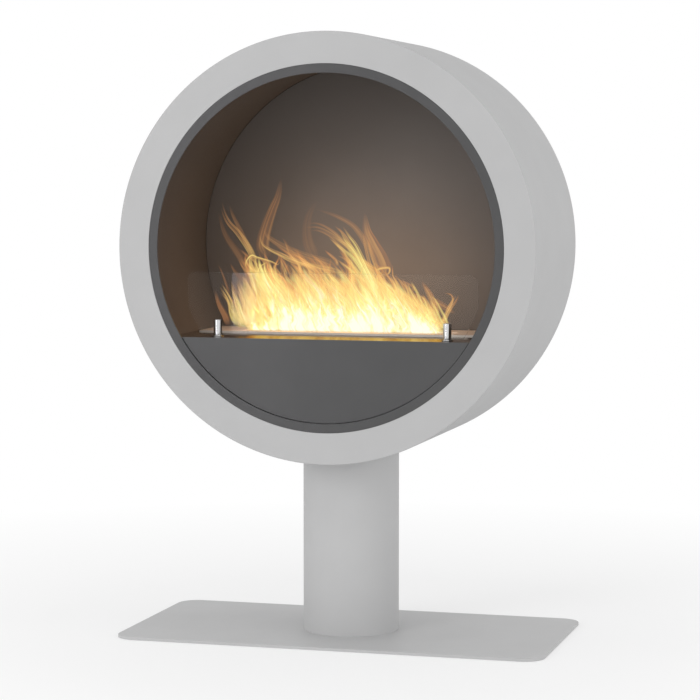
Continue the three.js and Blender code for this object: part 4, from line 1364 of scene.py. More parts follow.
@dataclass
class Burner(Assembly):
    """The lift-out burner: surround, tank, wool and sliding damper."""

    fold: float = 0.0007
    edge: float = 0.0003
    matting: float = 0.0012
    wool_step: float = 0.004
    wool_fill: float = 0.9
    wool_round: float = 0.005
    wool_drop: float = 0.0016
    wool_seed: int = 7

    def make(self) -> None:
        """Make the burner's pieces."""
        steel = self.palette.steel
        surround = worked_copy("burner_surround", "burner_tray", self.fold, 3)
        self.palette.dress(surround, steel, "burner_surround", body=Body.BURNER)
        # The glossy deck in front then mirrors the flame and not the surround's edge.
        surround.visible_glossy = False
        damper = worked_copy("flame_damper", "damper_blade", self.edge)
        self.palette.dress(damper, steel, "flame_damper", body=Body.DAMPER)
        wool = self._wool()
        self.palette.dress(wool, self.palette.wool, "ceramic_wool", body=Body.BURNER)
        self.palette.paint(steel, "burner_tank", "damper_rail_left", "damper_rail_right", "wool_grid")

    def _wool(self) -> Piece:
        """Make the mat of wool, with its round edges and matted skin.

        Returns:
            The mat.
        """
        low, high = (np.array(c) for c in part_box("ceramic_wool"))
        inset, reach = self.matting, self.wool_round
        mat = box_piece("wick_wool", low + inset, high - inset)
        work = bmesh.new()
        work.from_mesh(mat.data)
        for axis, normal in enumerate(np.identity(3)):
            for place in np.arange(low[axis] + inset + self.wool_step, high[axis] - inset, self.wool_step):
                bmesh.ops.bisect_plane(work, geom=[*work.verts, *work.edges, *work.faces],
                                       plane_co=normal * place, plane_no=normal)
        random = np.random.default_rng(self.wool_seed)
        centre, half = (low + high) / 2.0, (high - low) / 2.0 - inset
        for vertex in work.verts:
            offset = (np.array(vertex.co) - centre) / half
            edges = np.clip((np.abs(offset) * half - (half - reach)) / reach, 0.0, 1.0)
            push = -np.sign(offset) * edges ** 2 * self.wool_drop * (edges.sum() - edges > 0.0)
            vertex.co = Vector(np.array(vertex.co) + push + random.uniform(-0.7, 0.7, 3) * self.matting)
        work.to_mesh(mat.data)
        work.free()
        return smooth(tidy_mesh(mat), 80.0)


@dataclass
class GlassScreen(Assembly):
    """The low pane and the two slotted posts that hold it."""

    post_x: float = 0.18129
    post_y: float = -0.114
    post_radius: float = 0.0065
    post_foot: float = -0.137
    post_top: float = -0.111
    flange_radius: float = 0.009
    flange_height: float = 0.0012
    stud_radius: float = 0.0025
    stud_foot: float = -0.145
    slot_floor: float = -0.1353
    slot_half: float = 0.0028
    pane_half_thickness: float = 0.0025
    pane_foot: float = -0.134
    pane_top: float = -0.038
    pane_round: float = 0.246
    pane_half: float = 0.229
    pane_corner: float = 0.012
    pane_edge: float = 0.0006

    def make(self) -> None:
        """Make the screen's pieces."""
        pane = self._pane()
        self.palette.dress(pane, self.palette.glass, "glass_screen", body=Body.SCREEN)
        pane.data.materials.append(self.palette.of(self.palette.glass_edge))
        for face in pane.data.polygons:
            face.material_index = int(abs(face.normal.y) < 0.99)
        for side, x in (("left", -self.post_x), ("right", self.post_x)):
            self.palette.dress(self._post(x, side), self.palette.bright, f"glass_post_{side}")
        self.palette.paint(self.palette.silicone, "glass_rest_pad_left", "glass_rest_pad_right")
        self.palette.paint(self.palette.zinc, "post_nut_left", "post_nut_right")

    def _pane(self) -> Piece:
        """Make the pane, whose sides follow the drum, with its round corners and ground edges.

        Returns:
            The pane.
        """
        reach, foot, half = self.pane_round, self.pane_foot, self.pane_half
        low = math.atan2(foot, math.sqrt(reach ** 2 - foot ** 2))
        side = math.atan2(-math.sqrt(reach ** 2 - half ** 2), half)
        corner = (half - self.pane_corner, self.pane_top - self.pane_corner)
        right = arc(reach, low, side, 24) + arc(self.pane_corner, 0.0, math.pi / 2.0, 12, corner)
        outline = right + [(-x, z) for x, z in reversed(right)]
        pane = slab("glass_pane", [(x, z + DRUM.axis_height) for x, z in outline],
                    self.post_y - self.pane_half_thickness, self.post_y + self.pane_half_thickness, True)
        return ease_edges(pane, self.pane_edge, 2, 60.0)

    def _post(self, x: float, side: str) -> Piece:
        """Make one slotted post, with its foot flange and stud.

        Args:
            x: Its place along the pane.
            side: The word for its side.

        Returns:
            The post.
        """
        flange_top = self.post_foot + self.flange_height
        profile = eased([
            (0.0, self.stud_foot, 0.0), (self.stud_radius, self.stud_foot, 0.0003),
            (self.stud_radius, self.post_foot, 0.0), (self.flange_radius, self.post_foot, 0.0),
            (self.flange_radius, flange_top, 0.0004), (self.post_radius, flange_top, 0.0003),
            (self.post_radius, self.post_top, 0.0008), (0.0, self.post_top, 0.0)])
        y, z, reach = self.post_y, DRUM.axis_height, 2.0 * self.post_radius
        post = turned(f"slotted_post_{side}", profile, TurnAxis.UPRIGHT, Vector((x, y, z)), 64)
        slot = box_piece("post_slot", (x - reach, y - self.slot_half, z + self.slot_floor),
                         (x + reach, y + self.slot_half, z))
        return smooth(carve(post, slot))


# Flame


@dataclass(frozen=True)
class Strand:
    """One strand of flame.

    Attributes:
        path: Its middle, as places along the slot and heights over the flame's foot.
        width: Its greatest width.
        heat: How hot its foot and its tip are, 0 to 1.
        cover: How much of what is behind it its foot and its tip hide, 0 to 1.
        depth: Its place across the slot.
        rim: Its bright edge: 1 for the right of the way it goes, -1 for the left, 0 for none.
        threads: How many ribbons it is parted into.
        grain: How fine its streaks are.
    """

    path: tuple[Point, ...]
    width: float
    heat: Pair
    cover: Pair
    depth: float
    rim: float
    threads: int
    grain: float


# The flame's large strands, with their lengths in millimetres.
STRANDS: tuple[Strand, ...] = (
    Strand(((-149, 104), (-161, 125), (-172, 140), (-184, 155), (-197, 169), (-205, 187), (-211, 214)),
           10.4, (0.62, 0.3), (0.8, 0.44), -16, -0.5, 2, 2.0),
    Strand(((-150, 107), (-164, 131), (-178, 156), (-189, 179), (-197, 198)),
           11.9, (0.42, 0.25), (0.4, 0.18), -10, -0.3, 1, 3.0),
    Strand(((-167, 86), (-191, 121), (-209, 150), (-220, 187)),
           17.9, (0.26, 0.16), (0.2, 0.08), 4, 0.0, 1, 4.0),
    Strand(((-163, 97), (-163, 108), (-156, 118), (-147, 115), (-135, 111), (-124, 107), (-114, 103),
            (-109, 111)), 6.7, (0.62, 0.46), (0.95, 0.8), -23.5, -0.3, 1, 2.0),
    Strand(((-140, 61), (-150, 83), (-158, 101), (-160, 120)),
           13.4, (0.88, 0.6), (0.95, 0.95), -20, -0.3, 1, 1.5),
    Strand(((-130, 61), (-141, 83), (-149, 101), (-152, 119)),
           13.4, (0.88, 0.56), (0.95, 0.95), -21.5, -0.2, 1, 1.5),
    Strand(((-120, 58), (-133, 80), (-141, 98), (-145, 117)),
           13.4, (0.86, 0.52), (0.95, 0.9), -20.5, 0.0, 1, 1.5),
    Strand(((-110, 55), (-123, 77), (-133, 95), (-136, 114)),
           13.4, (0.84, 0.46), (0.95, 0.85), -21.5, 0.0, 1, 1.5),
    Strand(((-100, 52), (-113, 72), (-125, 91), (-128, 111)),
           13.4, (0.82, 0.42), (0.9, 0.8), -20.5, 0.0, 1, 1.5),
    Strand(((-90, 49), (-105, 68), (-116, 86), (-121, 106)),
           13.4, (0.78, 0.4), (0.85, 0.65), -21.5, 0.2, 1, 1.5),
    Strand(((-137, 73), (-144, 91), (-139, 103), (-127, 108)),
           8.9, (0.6, 0.46), (0.7, 0.5), -22.5, 0.0, 1, 1.5),
    Strand(((-113, 71), (-123, 86), (-129, 99), (-129, 110)),
           6, (0.34, 0.3), (0.9, 0.7), -22.8, 0.0, 1, 1.0),
    Strand(((-90, 62), (-101, 79), (-112, 89), (-126, 97)),
           6, (0.26, 0.24), (0.8, 0.6), -23.5, 0.0, 1, 1.0),
    Strand(((-77, 54), (-91, 69), (-108, 82), (-122, 91)), 6, (0.3, 0.26), (0.7, 0.5), -23.5, 0.0, 1, 1.0),
    Strand(((-134, 39), (-150, 67), (-157, 90), (-160, 114)),
           16.4, (0.84, 0.6), (0.85, 0.85), -19, -0.4, 1, 2.0),
    Strand(((-158, 82), (-169, 99), (-181, 117)), 8.9, (0.5, 0.26), (0.75, 0.35), -15, -0.4, 2, 1.0),
    Strand(((-168, 70), (-184, 91), (-194, 105)), 7.5, (0.34, 0.18), (0.5, 0.25), -15, -0.4, 1, 1.0),
    Strand(((-192, 56), (-205, 80), (-217, 104)), 6, (0.26, 0.14), (0.45, 0.22), -12, -0.5, 1, 1.0),
    Strand(((-118, 29), (-134, 59), (-145, 81), (-152, 101)),
           25.3, (0.88, 0.58), (0.92, 0.85), -18, -0.3, 1, 4.0),
    Strand(((-99, 36), (-117, 61), (-132, 81), (-143, 100)),
           25.3, (0.84, 0.5), (0.9, 0.8), -14, 0.0, 1, 4.0),
    Strand(((-81, 36), (-99, 58), (-115, 76), (-130, 93)),
           22.4, (0.8, 0.42), (0.85, 0.75), -10, 0.3, 1, 4.0),
    Strand(((-168, 3), (-178, 28), (-186, 54), (-194, 76)),
           14.9, (0.62, 0.4), (0.85, 0.65), -16, -0.3, 1, 3.0),
    Strand(((-160, 3), (-170, 31), (-178, 58), (-186, 82)),
           17.9, (0.7, 0.44), (0.88, 0.65), -10, -0.2, 1, 3.0),
    Strand(((-150, 3), (-161, 34), (-169, 63), (-176, 88)),
           19.4, (0.78, 0.48), (0.9, 0.7), -6, -0.2, 1, 4.0),
    Strand(((-177, 4), (-189, 35), (-199, 57), (-214, 79)),
           9.7, (0.7, 0.44), (1.0, 0.9), -22, -0.4, 2, 1.5),
    Strand(((-196, 7), (-211, 34), (-223, 62)), 13.4, (0.22, 0.14), (0.6, 0.36), -12, -0.5, 1, 2.5),
    Strand(((-159, 2), (-167, 33), (-177, 58), (-192, 85)),
           10.4, (0.66, 0.38), (0.9, 0.6), -18, -0.4, 2, 1.5),
    Strand(((-166, 2), (-176, 26), (-182, 46), (-190, 66)),
           8.9, (0.72, 0.5), (0.95, 0.7), -22.5, -0.3, 2, 1.5),
    Strand(((-153, 4), (-159, 26), (-169, 51), (-178, 73)),
           11.9, (0.84, 0.56), (0.92, 0.7), -21, -0.3, 2, 1.5),
    Strand(((-148, 10), (-156, 40), (-168, 66), (-179, 90)),
           13.4, (0.7, 0.46), (0.85, 0.6), -16, -0.3, 2, 1.5),
    Strand(((-143, 13), (-151, 44), (-162, 71), (-170, 95)),
           13.4, (0.76, 0.48), (0.85, 0.6), -12, -0.3, 2, 1.5),
    Strand(((-174, 2), (-182, 16), (-194, 36)), 7.5, (0.62, 0.44), (0.9, 0.6), -18, -0.4, 1, 1.0),
    Strand(((-159, 2), (-164, 16), (-170, 35), (-182, 54)),
           8.9, (0.66, 0.46), (0.8, 0.5), -23, -0.4, 2, 1.0),
    Strand(((-136, 4), (-144, 33), (-155, 57)), 14.9, (0.8, 0.55), (0.8, 0.6), -23, -0.2, 2, 1.5),
    Strand(((-183, 7), (-191, 27), (-196, 46), (-206, 61)),
           6, (0.66, 0.44), (0.95, 0.7), -21.5, -0.3, 1, 1.0),
    Strand(((-159, 4), (-169, 24), (-175, 41), (-182, 63)),
           6, (0.86, 0.6), (0.95, 0.7), -23.5, 0.0, 1, 1.0),
    Strand(((-169, 7), (-177, 23), (-185, 43), (-193, 57)),
           4.5, (0.34, 0.26), (0.85, 0.6), -23.8, 0.0, 1, 1.0),
    Strand(((-149, 7), (-157, 26), (-165, 45), (-173, 64)),
           4.5, (0.4, 0.3), (0.8, 0.6), -23.8, 0.0, 1, 1.0),
    Strand(((6, 84), (-20, 96), (-51, 102), (-80, 109), (-105, 117), (-126, 126), (-140, 136),
            (-145, 152)),
           11.2, (0.52, 0.5), (0.62, 0.8), -17, -0.5, 1, 2.5),
    Strand(((-42, 95), (-65, 103), (-84, 108), (-104, 117), (-123, 127)),
           8.9, (0.56, 0.48), (0.75, 0.65), -20, -0.3, 2, 1.5),
    Strand(((-16, 99), (-40, 108), (-71, 117), (-98, 127), (-119, 137), (-134, 148), (-140, 162)),
           17.9, (0.44, 0.3), (0.36, 0.24), -8, -0.4, 1, 4.0),
    Strand(((-130, 114), (-142, 131), (-142, 147), (-136, 166), (-127, 188), (-118, 211), (-113, 239)),
           26.8, (0.34, 0.25), (0.36, 0.34), -10, 0.25, 1, 2.0),
    Strand(((-88, 105), (-100, 125), (-110, 147)), 10.4, (0.44, 0.26), (0.48, 0.18), -6, -0.3, 1, 2.0),
    Strand(((-56, 108), (-71, 136), (-75, 161), (-69, 184), (-57, 205)),
           25.3, (0.28, 0.2), (0.13, 0.05), 6, 0.0, 1, 2.0),
    Strand(((1, 121), (-17, 139), (-33, 153), (-55, 163), (-78, 161)),
           14.9, (0.44, 0.26), (0.42, 0.14), 2, 0.0, 3, 3.0),
    Strand(((42, 102), (24, 135), (9, 155), (-5, 168), (-30, 181), (-59, 191)),
           13.4, (0.42, 0.26), (0.4, 0.2), 6, 0.3, 1, 3.5),
    Strand(((49, 57), (29, 97), (12, 129), (-2, 147), (-13, 168)),
           16.4, (0.86, 0.46), (0.95, 0.65), -20, 0.4, 2, 2.5),
    Strand(((38, 69), (14, 109), (-4, 128), (-20, 141), (-38, 154)),
           13.4, (0.82, 0.42), (0.9, 0.55), -16, 0.3, 2, 2.0),
    Strand(((22, 85), (-3, 120), (-29, 145)), 7.5, (0.65, 0.38), (0.7, 0.4), -18, 0.0, 1, 1.5),
    Strand(((33, 72), (5, 102), (-19, 118)), 11.9, (0.78, 0.48), (0.85, 0.55), -21, 0.3, 2, 1.5),
    Strand(((14, 120), (-7, 148), (-25, 166)), 7.5, (0.48, 0.28), (0.5, 0.3), -10, 0.0, 1, 2.0),
    Strand(((40, 57), (24, 91), (5, 121), (-8, 143)), 25.3, (0.88, 0.55), (0.75, 0.45), -12, 0.3, 1, 4.0),
    Strand(((49, 86), (46, 103), (42, 118), (32, 138), (23, 158), (20, 185)),
           35.8, (0.36, 0.32), (0.6, 0.56), 4, 0.75, 1, 2.2),
    Strand(((49, 72), (36, 104), (27, 135), (25, 159)), 13.4, (0.6, 0.34), (0.7, 0.4), -4, -0.3, 2, 1.5),
    Strand(((44, 96), (53, 101), (65, 101), (65, 94), (57, 88)),
           7.5, (0.5, 0.36), (0.85, 0.6), -20, 0.2, 1, 1.0),
    Strand(((61, 60), (58, 82), (49, 99)), 10.4, (0.66, 0.44), (0.75, 0.5), -20, 0.4, 2, 1.0),
    Strand(((97, 33), (85, 58), (77, 76), (68, 91)), 11.9, (0.76, 0.44), (0.92, 0.65), -20, 0.4, 2, 1.5),
    Strand(((104, 33), (96, 56), (88, 74), (78, 90)), 10.4, (0.66, 0.36), (0.8, 0.5), -12, 0.4, 2, 1.5),
    Strand(((122, 29), (111, 53), (103, 70), (97, 84)), 11.9, (0.76, 0.46), (0.94, 0.7), -21, 0.4, 2, 1.5),
    Strand(((142, 22), (134, 45), (126, 64), (116, 81)), 16.4, (0.54, 0.3), (0.85, 0.6), -10, 0.5, 1, 3.0),
    Strand(((157, 11), (149, 29), (138, 48), (127, 58)), 11.9, (0.74, 0.5), (0.94, 0.7), -20, 0.3, 2, 1.5),
    Strand(((135, 24), (124, 46), (113, 60)), 10.4, (0.8, 0.55), (0.9, 0.7), -21, 0.3, 2, 1.5),
    Strand(((127, 51), (147, 40), (168, 32)), 16.4, (0.36, 0.28), (0.5, 0.36), 0, -0.3, 1, 3.0),
    Strand(((145, 8), (159, 35), (170, 51), (176, 65)), 10.4, (0.56, 0.34), (0.9, 0.6), -18, 0.5, 2, 1.5),
    Strand(((155, 30), (166, 48), (164, 59), (152, 64)), 6, (0.38, 0.25), (0.5, 0.3), -12, 0.0, 1, 1.0),
)


@dataclass(frozen=True)
class TongueKind:
    """A kind of small tongue, with the ranges that its sizes are drawn from.

    Attributes:
        count: How many there are along the slot.
        starts: Where it starts, as shares of its height.
        heights: Its height, as shares of the flame's.
        widths: Its width.
        leans: How far it may lean right and left of the flame's own lean.
        depths: Its place across the slot.
        heat: The heat at the slot and at its tip.
        cover: The cover at its foot and its tip.
    """

    count: int
    starts: Pair
    heights: Pair
    widths: Pair
    leans: Pair
    depths: Pair
    heat: Pair
    cover: Pair


@dataclass(frozen=True)
class Swirl:
    """A wave that carries the flame aside: its size, its turns along and up, and its phase."""

    size: float
    along: float
    up: float
    phase: float = 0.0

    def at(self, x: np.ndarray, z: np.ndarray) -> np.ndarray:
        """Return the wave's push at places along the slot and heights over it."""
        return self.size * np.sin(self.along * x + self.up * z + self.phase)


@dataclass(frozen=True)
class Veil:
    """A grid of flame: places, flow coordinates, heat and cover of each of its points."""

    place: np.ndarray
    flow: np.ndarray
    heat: np.ndarray
    cover: np.ndarray


@dataclass(frozen=True)
class RibbonShape:
    """What every ribbon of flame has in common.

    Attributes:
        marks: Where its points lie across it, from edge to edge.
        foot: Its width at its foot, as a share of the greatest.
        widening: How fast it widens from there.
        cup: How deeply it is cupped, as a share of half its width.
        rim: The width of the fall outside its bright edge.
        rim_least: The least cover behind its bright edge.
        rim_power: How steeply the cover rises to its bright edge.
        rim_start: How fast the cover starts at its far edge.
        fades: How fast it comes at its foot and goes at its tip.
        cooling: How much cooler its thin parts are.
    """

    marks: tuple[float, ...] = (-1.0, -0.9, -0.7, -0.4, 0.0, 0.4, 0.7, 0.9, 1.0)
    foot: float = 0.45
    widening: float = 4.0
    cup: float = 0.35
    rim: float = 0.12
    rim_least: float = 0.12
    rim_power: float = 2.2
    rim_start: float = 3.0
    fades: Pair = (5.0, 4.0)
    cooling: float = 0.18

    def profile(self, rim: float) -> np.ndarray:
        """Return the cover across a ribbon.

        Args:
            rim: Its bright edge, -1 to 1.

        Returns:
            The cover at each mark, as a share of its greatest.
        """
        aside = np.array(self.marks)
        soft = 1.0 - aside ** 2
        towards = aside * math.copysign(1.0, rim)
        rising = self.rim_least + (1.0 - self.rim_least) * ((towards + 1.0) / 2.0) ** self.rim_power
        edge = unit((1.0 - towards) / self.rim) * rising * unit((towards + 1.0) * self.rim_start)
        return soft + abs(rim) * (edge - soft)

    def veil(self, spine: np.ndarray, strand: Strand, yaw: float, shift: float) -> Veil:
        """Make one tapering, gently cupped ribbon.

        Args:
            spine: Points along its middle.
            strand: Its width, heat, cover, rim and grain.
            yaw: Its turn about the vertical, in radians.
            shift: A shift of its streaks.

        Returns:
            The ribbon.
        """
        rise = np.linspace(0.0, 1.0, len(spine))
        aside = np.array(self.marks)[:, None]
        cup = np.array((-math.sin(yaw), math.cos(yaw), 0.0))
        across = unit_rows(np.cross(cup, unit_rows(np.gradient(spine, axis=0))))
        taper = np.sqrt(1.0 - rise) * unit(rise * self.widening + self.foot)
        half = (strand.width / 2.0 * taper)[:, None]
        u = aside[:, :, None]
        place = spine + u * half * across + u ** 2 * half * self.cup * cup
        place[:, :, 2] = np.maximum(place[:, :, 2], FLAME_FOOT)
        flow = np.broadcast_arrays((aside + 1.0) / 2.0 * strand.grain + shift, rise[None, :])
        profile = self.profile(strand.rim)[:, None]
        ends = unit(rise * self.fades[0]) * unit((1.0 - rise) * self.fades[1])
        hot = between(strand.heat, rise) - self.cooling * (1.0 - profile)
        return Veil(place, np.stack(flow, axis=-1), hot, between(strand.cover, rise) * profile * ends)


@dataclass(frozen=True)
class Draught:
    """How tall the flame stands along the slot, and how the draught carries it aside.

    Attributes:
        left: Where the flame starts along the slot.
        right: Where it ends.
        crest: Places along the slot, and the flame's height over its foot at each.
        full_height: The height at which its lean is full.
        lean: How far the draught leans it.
        lean_shares: The lean's share low down, and what the full height adds.
        swirls: The waves that grow with height.
        swirl_power: How steeply they grow.
        swirl_limit: The share of the full height from which they grow no more.
        shiver: The small wave that is the same at every height.
    """

    left: float = -0.168
    right: float = 0.152
    crest: tuple[Point, ...] = (
        (-0.168, 0.022), (-0.150, 0.056), (-0.133, 0.086), (-0.109, 0.108), (-0.091, 0.112),
        (-0.069, 0.098), (-0.052, 0.106), (-0.036, 0.111), (-0.011, 0.105), (0.000, 0.098),
        (0.023, 0.104), (0.049, 0.117), (0.065, 0.114), (0.075, 0.100), (0.088, 0.096),
        (0.109, 0.088), (0.126, 0.072), (0.144, 0.048), (0.152, 0.018))
    full_height: float = 0.12
    lean: float = 0.46
    lean_shares: Pair = (0.62, 0.38)
    swirls: tuple[Swirl, ...] = (Swirl(0.0060, 62.0, 38.0, 0.6), Swirl(0.0036, 151.0, -64.0, 2.1))
    swirl_power: float = 1.3
    swirl_limit: float = 1.6
    shiver: Swirl = Swirl(0.0016, 330.0, 140.0)

    def root(self, share: np.ndarray | float) -> np.ndarray | float:
        """Return the place at a share of the way along the flame."""
        return between((self.left, self.right), share)

    def height(self, x: np.ndarray | float) -> np.ndarray | float:
        """Return the flame's height over its foot for a root at a place along the slot."""
        return np.interp(x, *zip(*self.crest))

    def drift(self, x: np.ndarray, z: np.ndarray) -> np.ndarray:
        """Return how far the draught has carried the flame aside.

        Args:
            x: The roots' places along the slot.
            z: The heights over the flame's foot.

        Returns:
            The shift along the slot.
        """
        share = z / self.full_height
        leaning = -self.lean * z * (self.lean_shares[0] + self.lean_shares[1] * share)
        growing = np.clip(share, 0.0, self.swirl_limit) ** self.swirl_power
        return leaning + sum(swirl.at(x, z) for swirl in self.swirls) * growing + self.shiver.at(x, z)


@dataclass(frozen=True)
class FlameLayer:
    """One layer of the flame, with its piece's name, its glow and the seed of its random draws."""

    name: str
    glow: FlameGlow
    seed: int

    def veils(self, draught: Draught) -> list[Veil]:
        """Make the layer's grids."""
        raise NotImplementedError


@dataclass(frozen=True)
class Sheets(FlameLayer):
    """The sheets that fill the flame's body.

    Attributes:
        depths: Each sheet's place across the slot, front to back.
        columns: Its points along the slot.
        rows: Its points up it.
        share: Its height, as a share of the crest's.
        spikes: Waves of its crest, each with its number of peaks and its size.
        wander: The wave across the slot, with its number of peaks and its size.
        foot_wander: How much of that wave there is at the foot.
        shift: How far its streaks are shifted, at most.
        ends: How fast it comes in from its two ends.
        fades: How fast it comes at the foot and goes at the tip.
        foot_cover: Its cover at the foot.
        foot_heat: Places along the slot, and the heat of its foot at each.
        cooling: How much cooler it is at the tip, and how steeply it cools.
    """

    depths: tuple[float, ...] = (-0.021, -0.013, -0.005, 0.004)
    columns: int = 200
    rows: int = 30
    share: float = 0.80
    spikes: tuple[tuple[int, float], ...] = ((24, 0.14), (80, 0.16))
    wander: tuple[int, float] = (14, 0.004)
    foot_wander: float = 0.4
    shift: float = 20.0
    ends: float = 30.0
    fades: Pair = (30.0, 2.0)
    foot_cover: float = 0.3
    foot_heat: tuple[Pair, ...] = ((-0.168, 0.74), (-0.130, 0.86), (-0.100, 1.05), (0.115, 1.05),
                                    (0.152, 0.84))
    cooling: Pair = (0.60, 0.9)

    def veils(self, draught: Draught) -> list[Veil]:
        """Make the sheets.

        Args:
            draught: The flame's height and drift.

        Returns:
            The sheets, front to back.
        """
        random = np.random.default_rng(self.seed)
        (come, go), (cooler, power) = self.fades, self.cooling
        along, rise = np.linspace(0.0, 1.0, self.columns), np.linspace(0.0, 1.0, self.rows)
        u, v = np.meshgrid(along, rise, indexing="ij")
        x = draught.root(u)
        cover = unit(np.minimum(u, 1.0 - u) * self.ends) * unit((1.0 - v) * go)
        cover *= unit(v * come + self.foot_cover)
        hot = np.interp(x, *zip(*self.foot_heat)) - cooler * v ** power
        veils = []
        for depth in self.depths:
            spikes = sum(self._wave(random, along, *spike) for spike in self.spikes)
            tall = (draught.height(x[:, 0]) * (self.share + spikes))[:, None] * v
            wander = self._wave(random, along, *self.wander)[:, None] * (self.foot_wander + v)
            place = np.stack([x + draught.drift(x, tall), depth + wander, FLAME_FOOT + tall], axis=-1)
            flow = np.stack([u + random.uniform(0.0, self.shift), v], axis=-1)
            veils.append(Veil(place, flow, hot, cover))
        return veils

    @staticmethod
    def _wave(random: np.random.Generator, along: np.ndarray, count: int, size: float) -> np.ndarray:
        """Draw a smooth random wave along the flame.

        Args:
            random: The layer's random draws.
            along: Places along the flame, 0 to 1.
            count: The number of its peaks and troughs.
            size: The height of its peaks, at most.

        Returns:
            The wave at each place.
        """
        spots = np.linspace(0.0, 1.0, count + 2)
        near = np.interp(along, spots, random.uniform(-1.0, 1.0, count + 2))
        return size * np.convolve(np.pad(near, 2, mode="edge"), WAVE_SMOOTHING, "valid")


@dataclass(frozen=True)
class Tongues(FlameLayer):
    """The small pointed tongues.

    Attributes:
        kinds: The kinds of tongue.
        rows: Its points up it.
        jitter: How far a tongue is shifted along the slot, at most, as a share of it.
        curl: How far it curls aside, at most.
        bend: The turn in radians that its curl makes.
        sway: How far it leans across the slot, at most.
        yaw: How far it is turned about the vertical, at most.
        rims: The bright edges that it may have.
        grains: The finest and the coarsest of its streaks.
        ends: The heat's share at the slot's ends, and how fast it grows from there.
        cooling: How much a late start cools its foot and its tip.
        shape: The shape of its ribbon.
    """

    kinds: tuple[TongueKind, ...] = (
        TongueKind(120, (0.05, 0.66), (0.72, 1.04), (0.009, 0.024), (0.16, 0.20), (-0.022, 0.010),
                   (1.00, 0.36), (0.78, 0.70)),
        TongueKind(80, (0.45, 0.80), (1.00, 1.26), (0.005, 0.012), (0.20, 0.34), (-0.024, 0.010),
                   (0.78, 0.22), (0.55, 0.45)),
        TongueKind(150, (0.18, 0.62), (0.62, 1.00), (0.0025, 0.006), (0.22, 0.32), (-0.027, -0.022),
                   (0.56, 0.26), (0.42, 0.42)),
        TongueKind(90, (0.10, 0.50), (0.50, 0.96), (0.002, 0.005), (0.22, 0.32), (-0.029, -0.024),
                   (1.10, 0.62), (0.50, 0.50)))
    rows: int = 20
    jitter: float = 0.01
    curl: float = 0.008
    bend: float = 4.2
    sway: float = 0.003
    yaw: float = 0.5
    rims: Triple = (-0.6, 0.0, 0.6)
    grains: Pair = (1.0, 2.0)
    ends: Pair = (0.55, 26.0)
    cooling: Pair = (0.42, 0.10)
    shape: RibbonShape = RibbonShape()

    def veils(self, draught: Draught) -> list[Veil]:
        """Return the tongues, kind by kind."""
        random = np.random.default_rng(self.seed)
        return [self._tongue(random, draught, kind, index / kind.count)
                for kind in self.kinds for index in range(kind.count)]

    def _tongue(self, random: np.random.Generator, draught: Draught, kind: TongueKind,
                share: float) -> Veil:
        """Make one tongue.

        Args:
            random: The layer's random draws.
            draught: The flame's height and drift.
            kind: The ranges that its sizes are drawn from.
            share: Its place along the slot, 0 to 1.

        Returns:
            The tongue.
        """
        rise = np.linspace(0.0, 1.0, self.rows)
        x = draught.root(min(share + random.uniform(0.0, self.jitter), 1.0))
        start = random.uniform(*kind.starts)
        z = float(draught.height(x)) * random.uniform(*kind.heights) * between((start, 1.0), rise)
        own_lean = random.uniform(-kind.leans[0], kind.leans[1])
        curl = random.uniform(-self.curl, self.curl) * np.sin(rise * self.bend)
        depth = random.uniform(*kind.depths)
        aside = x + draught.drift(np.full_like(z, x), z) - own_lean * (z - z[0]) + curl
        sway = random.uniform(-self.sway, self.sway) * rise
        least, growth = self.ends
        ends = between((least, 1.0), min(1.0, growth * share, growth * (1.0 - share)))
        cool_foot, cool_tip = self.cooling
        heat = ((kind.heat[0] - cool_foot * start) * ends, kind.heat[1] - cool_tip * start)
        tongue = Strand((), random.uniform(*kind.widths), heat, kind.cover, depth,
                        random.choice(self.rims), 1, random.uniform(*self.grains))
        return self.shape.veil(np.stack([aside, depth + sway, FLAME_FOOT + z], axis=-1), tongue,
                               random.uniform(-self.yaw, self.yaw), random.uniform(0.0, STREAK_SHIFT))


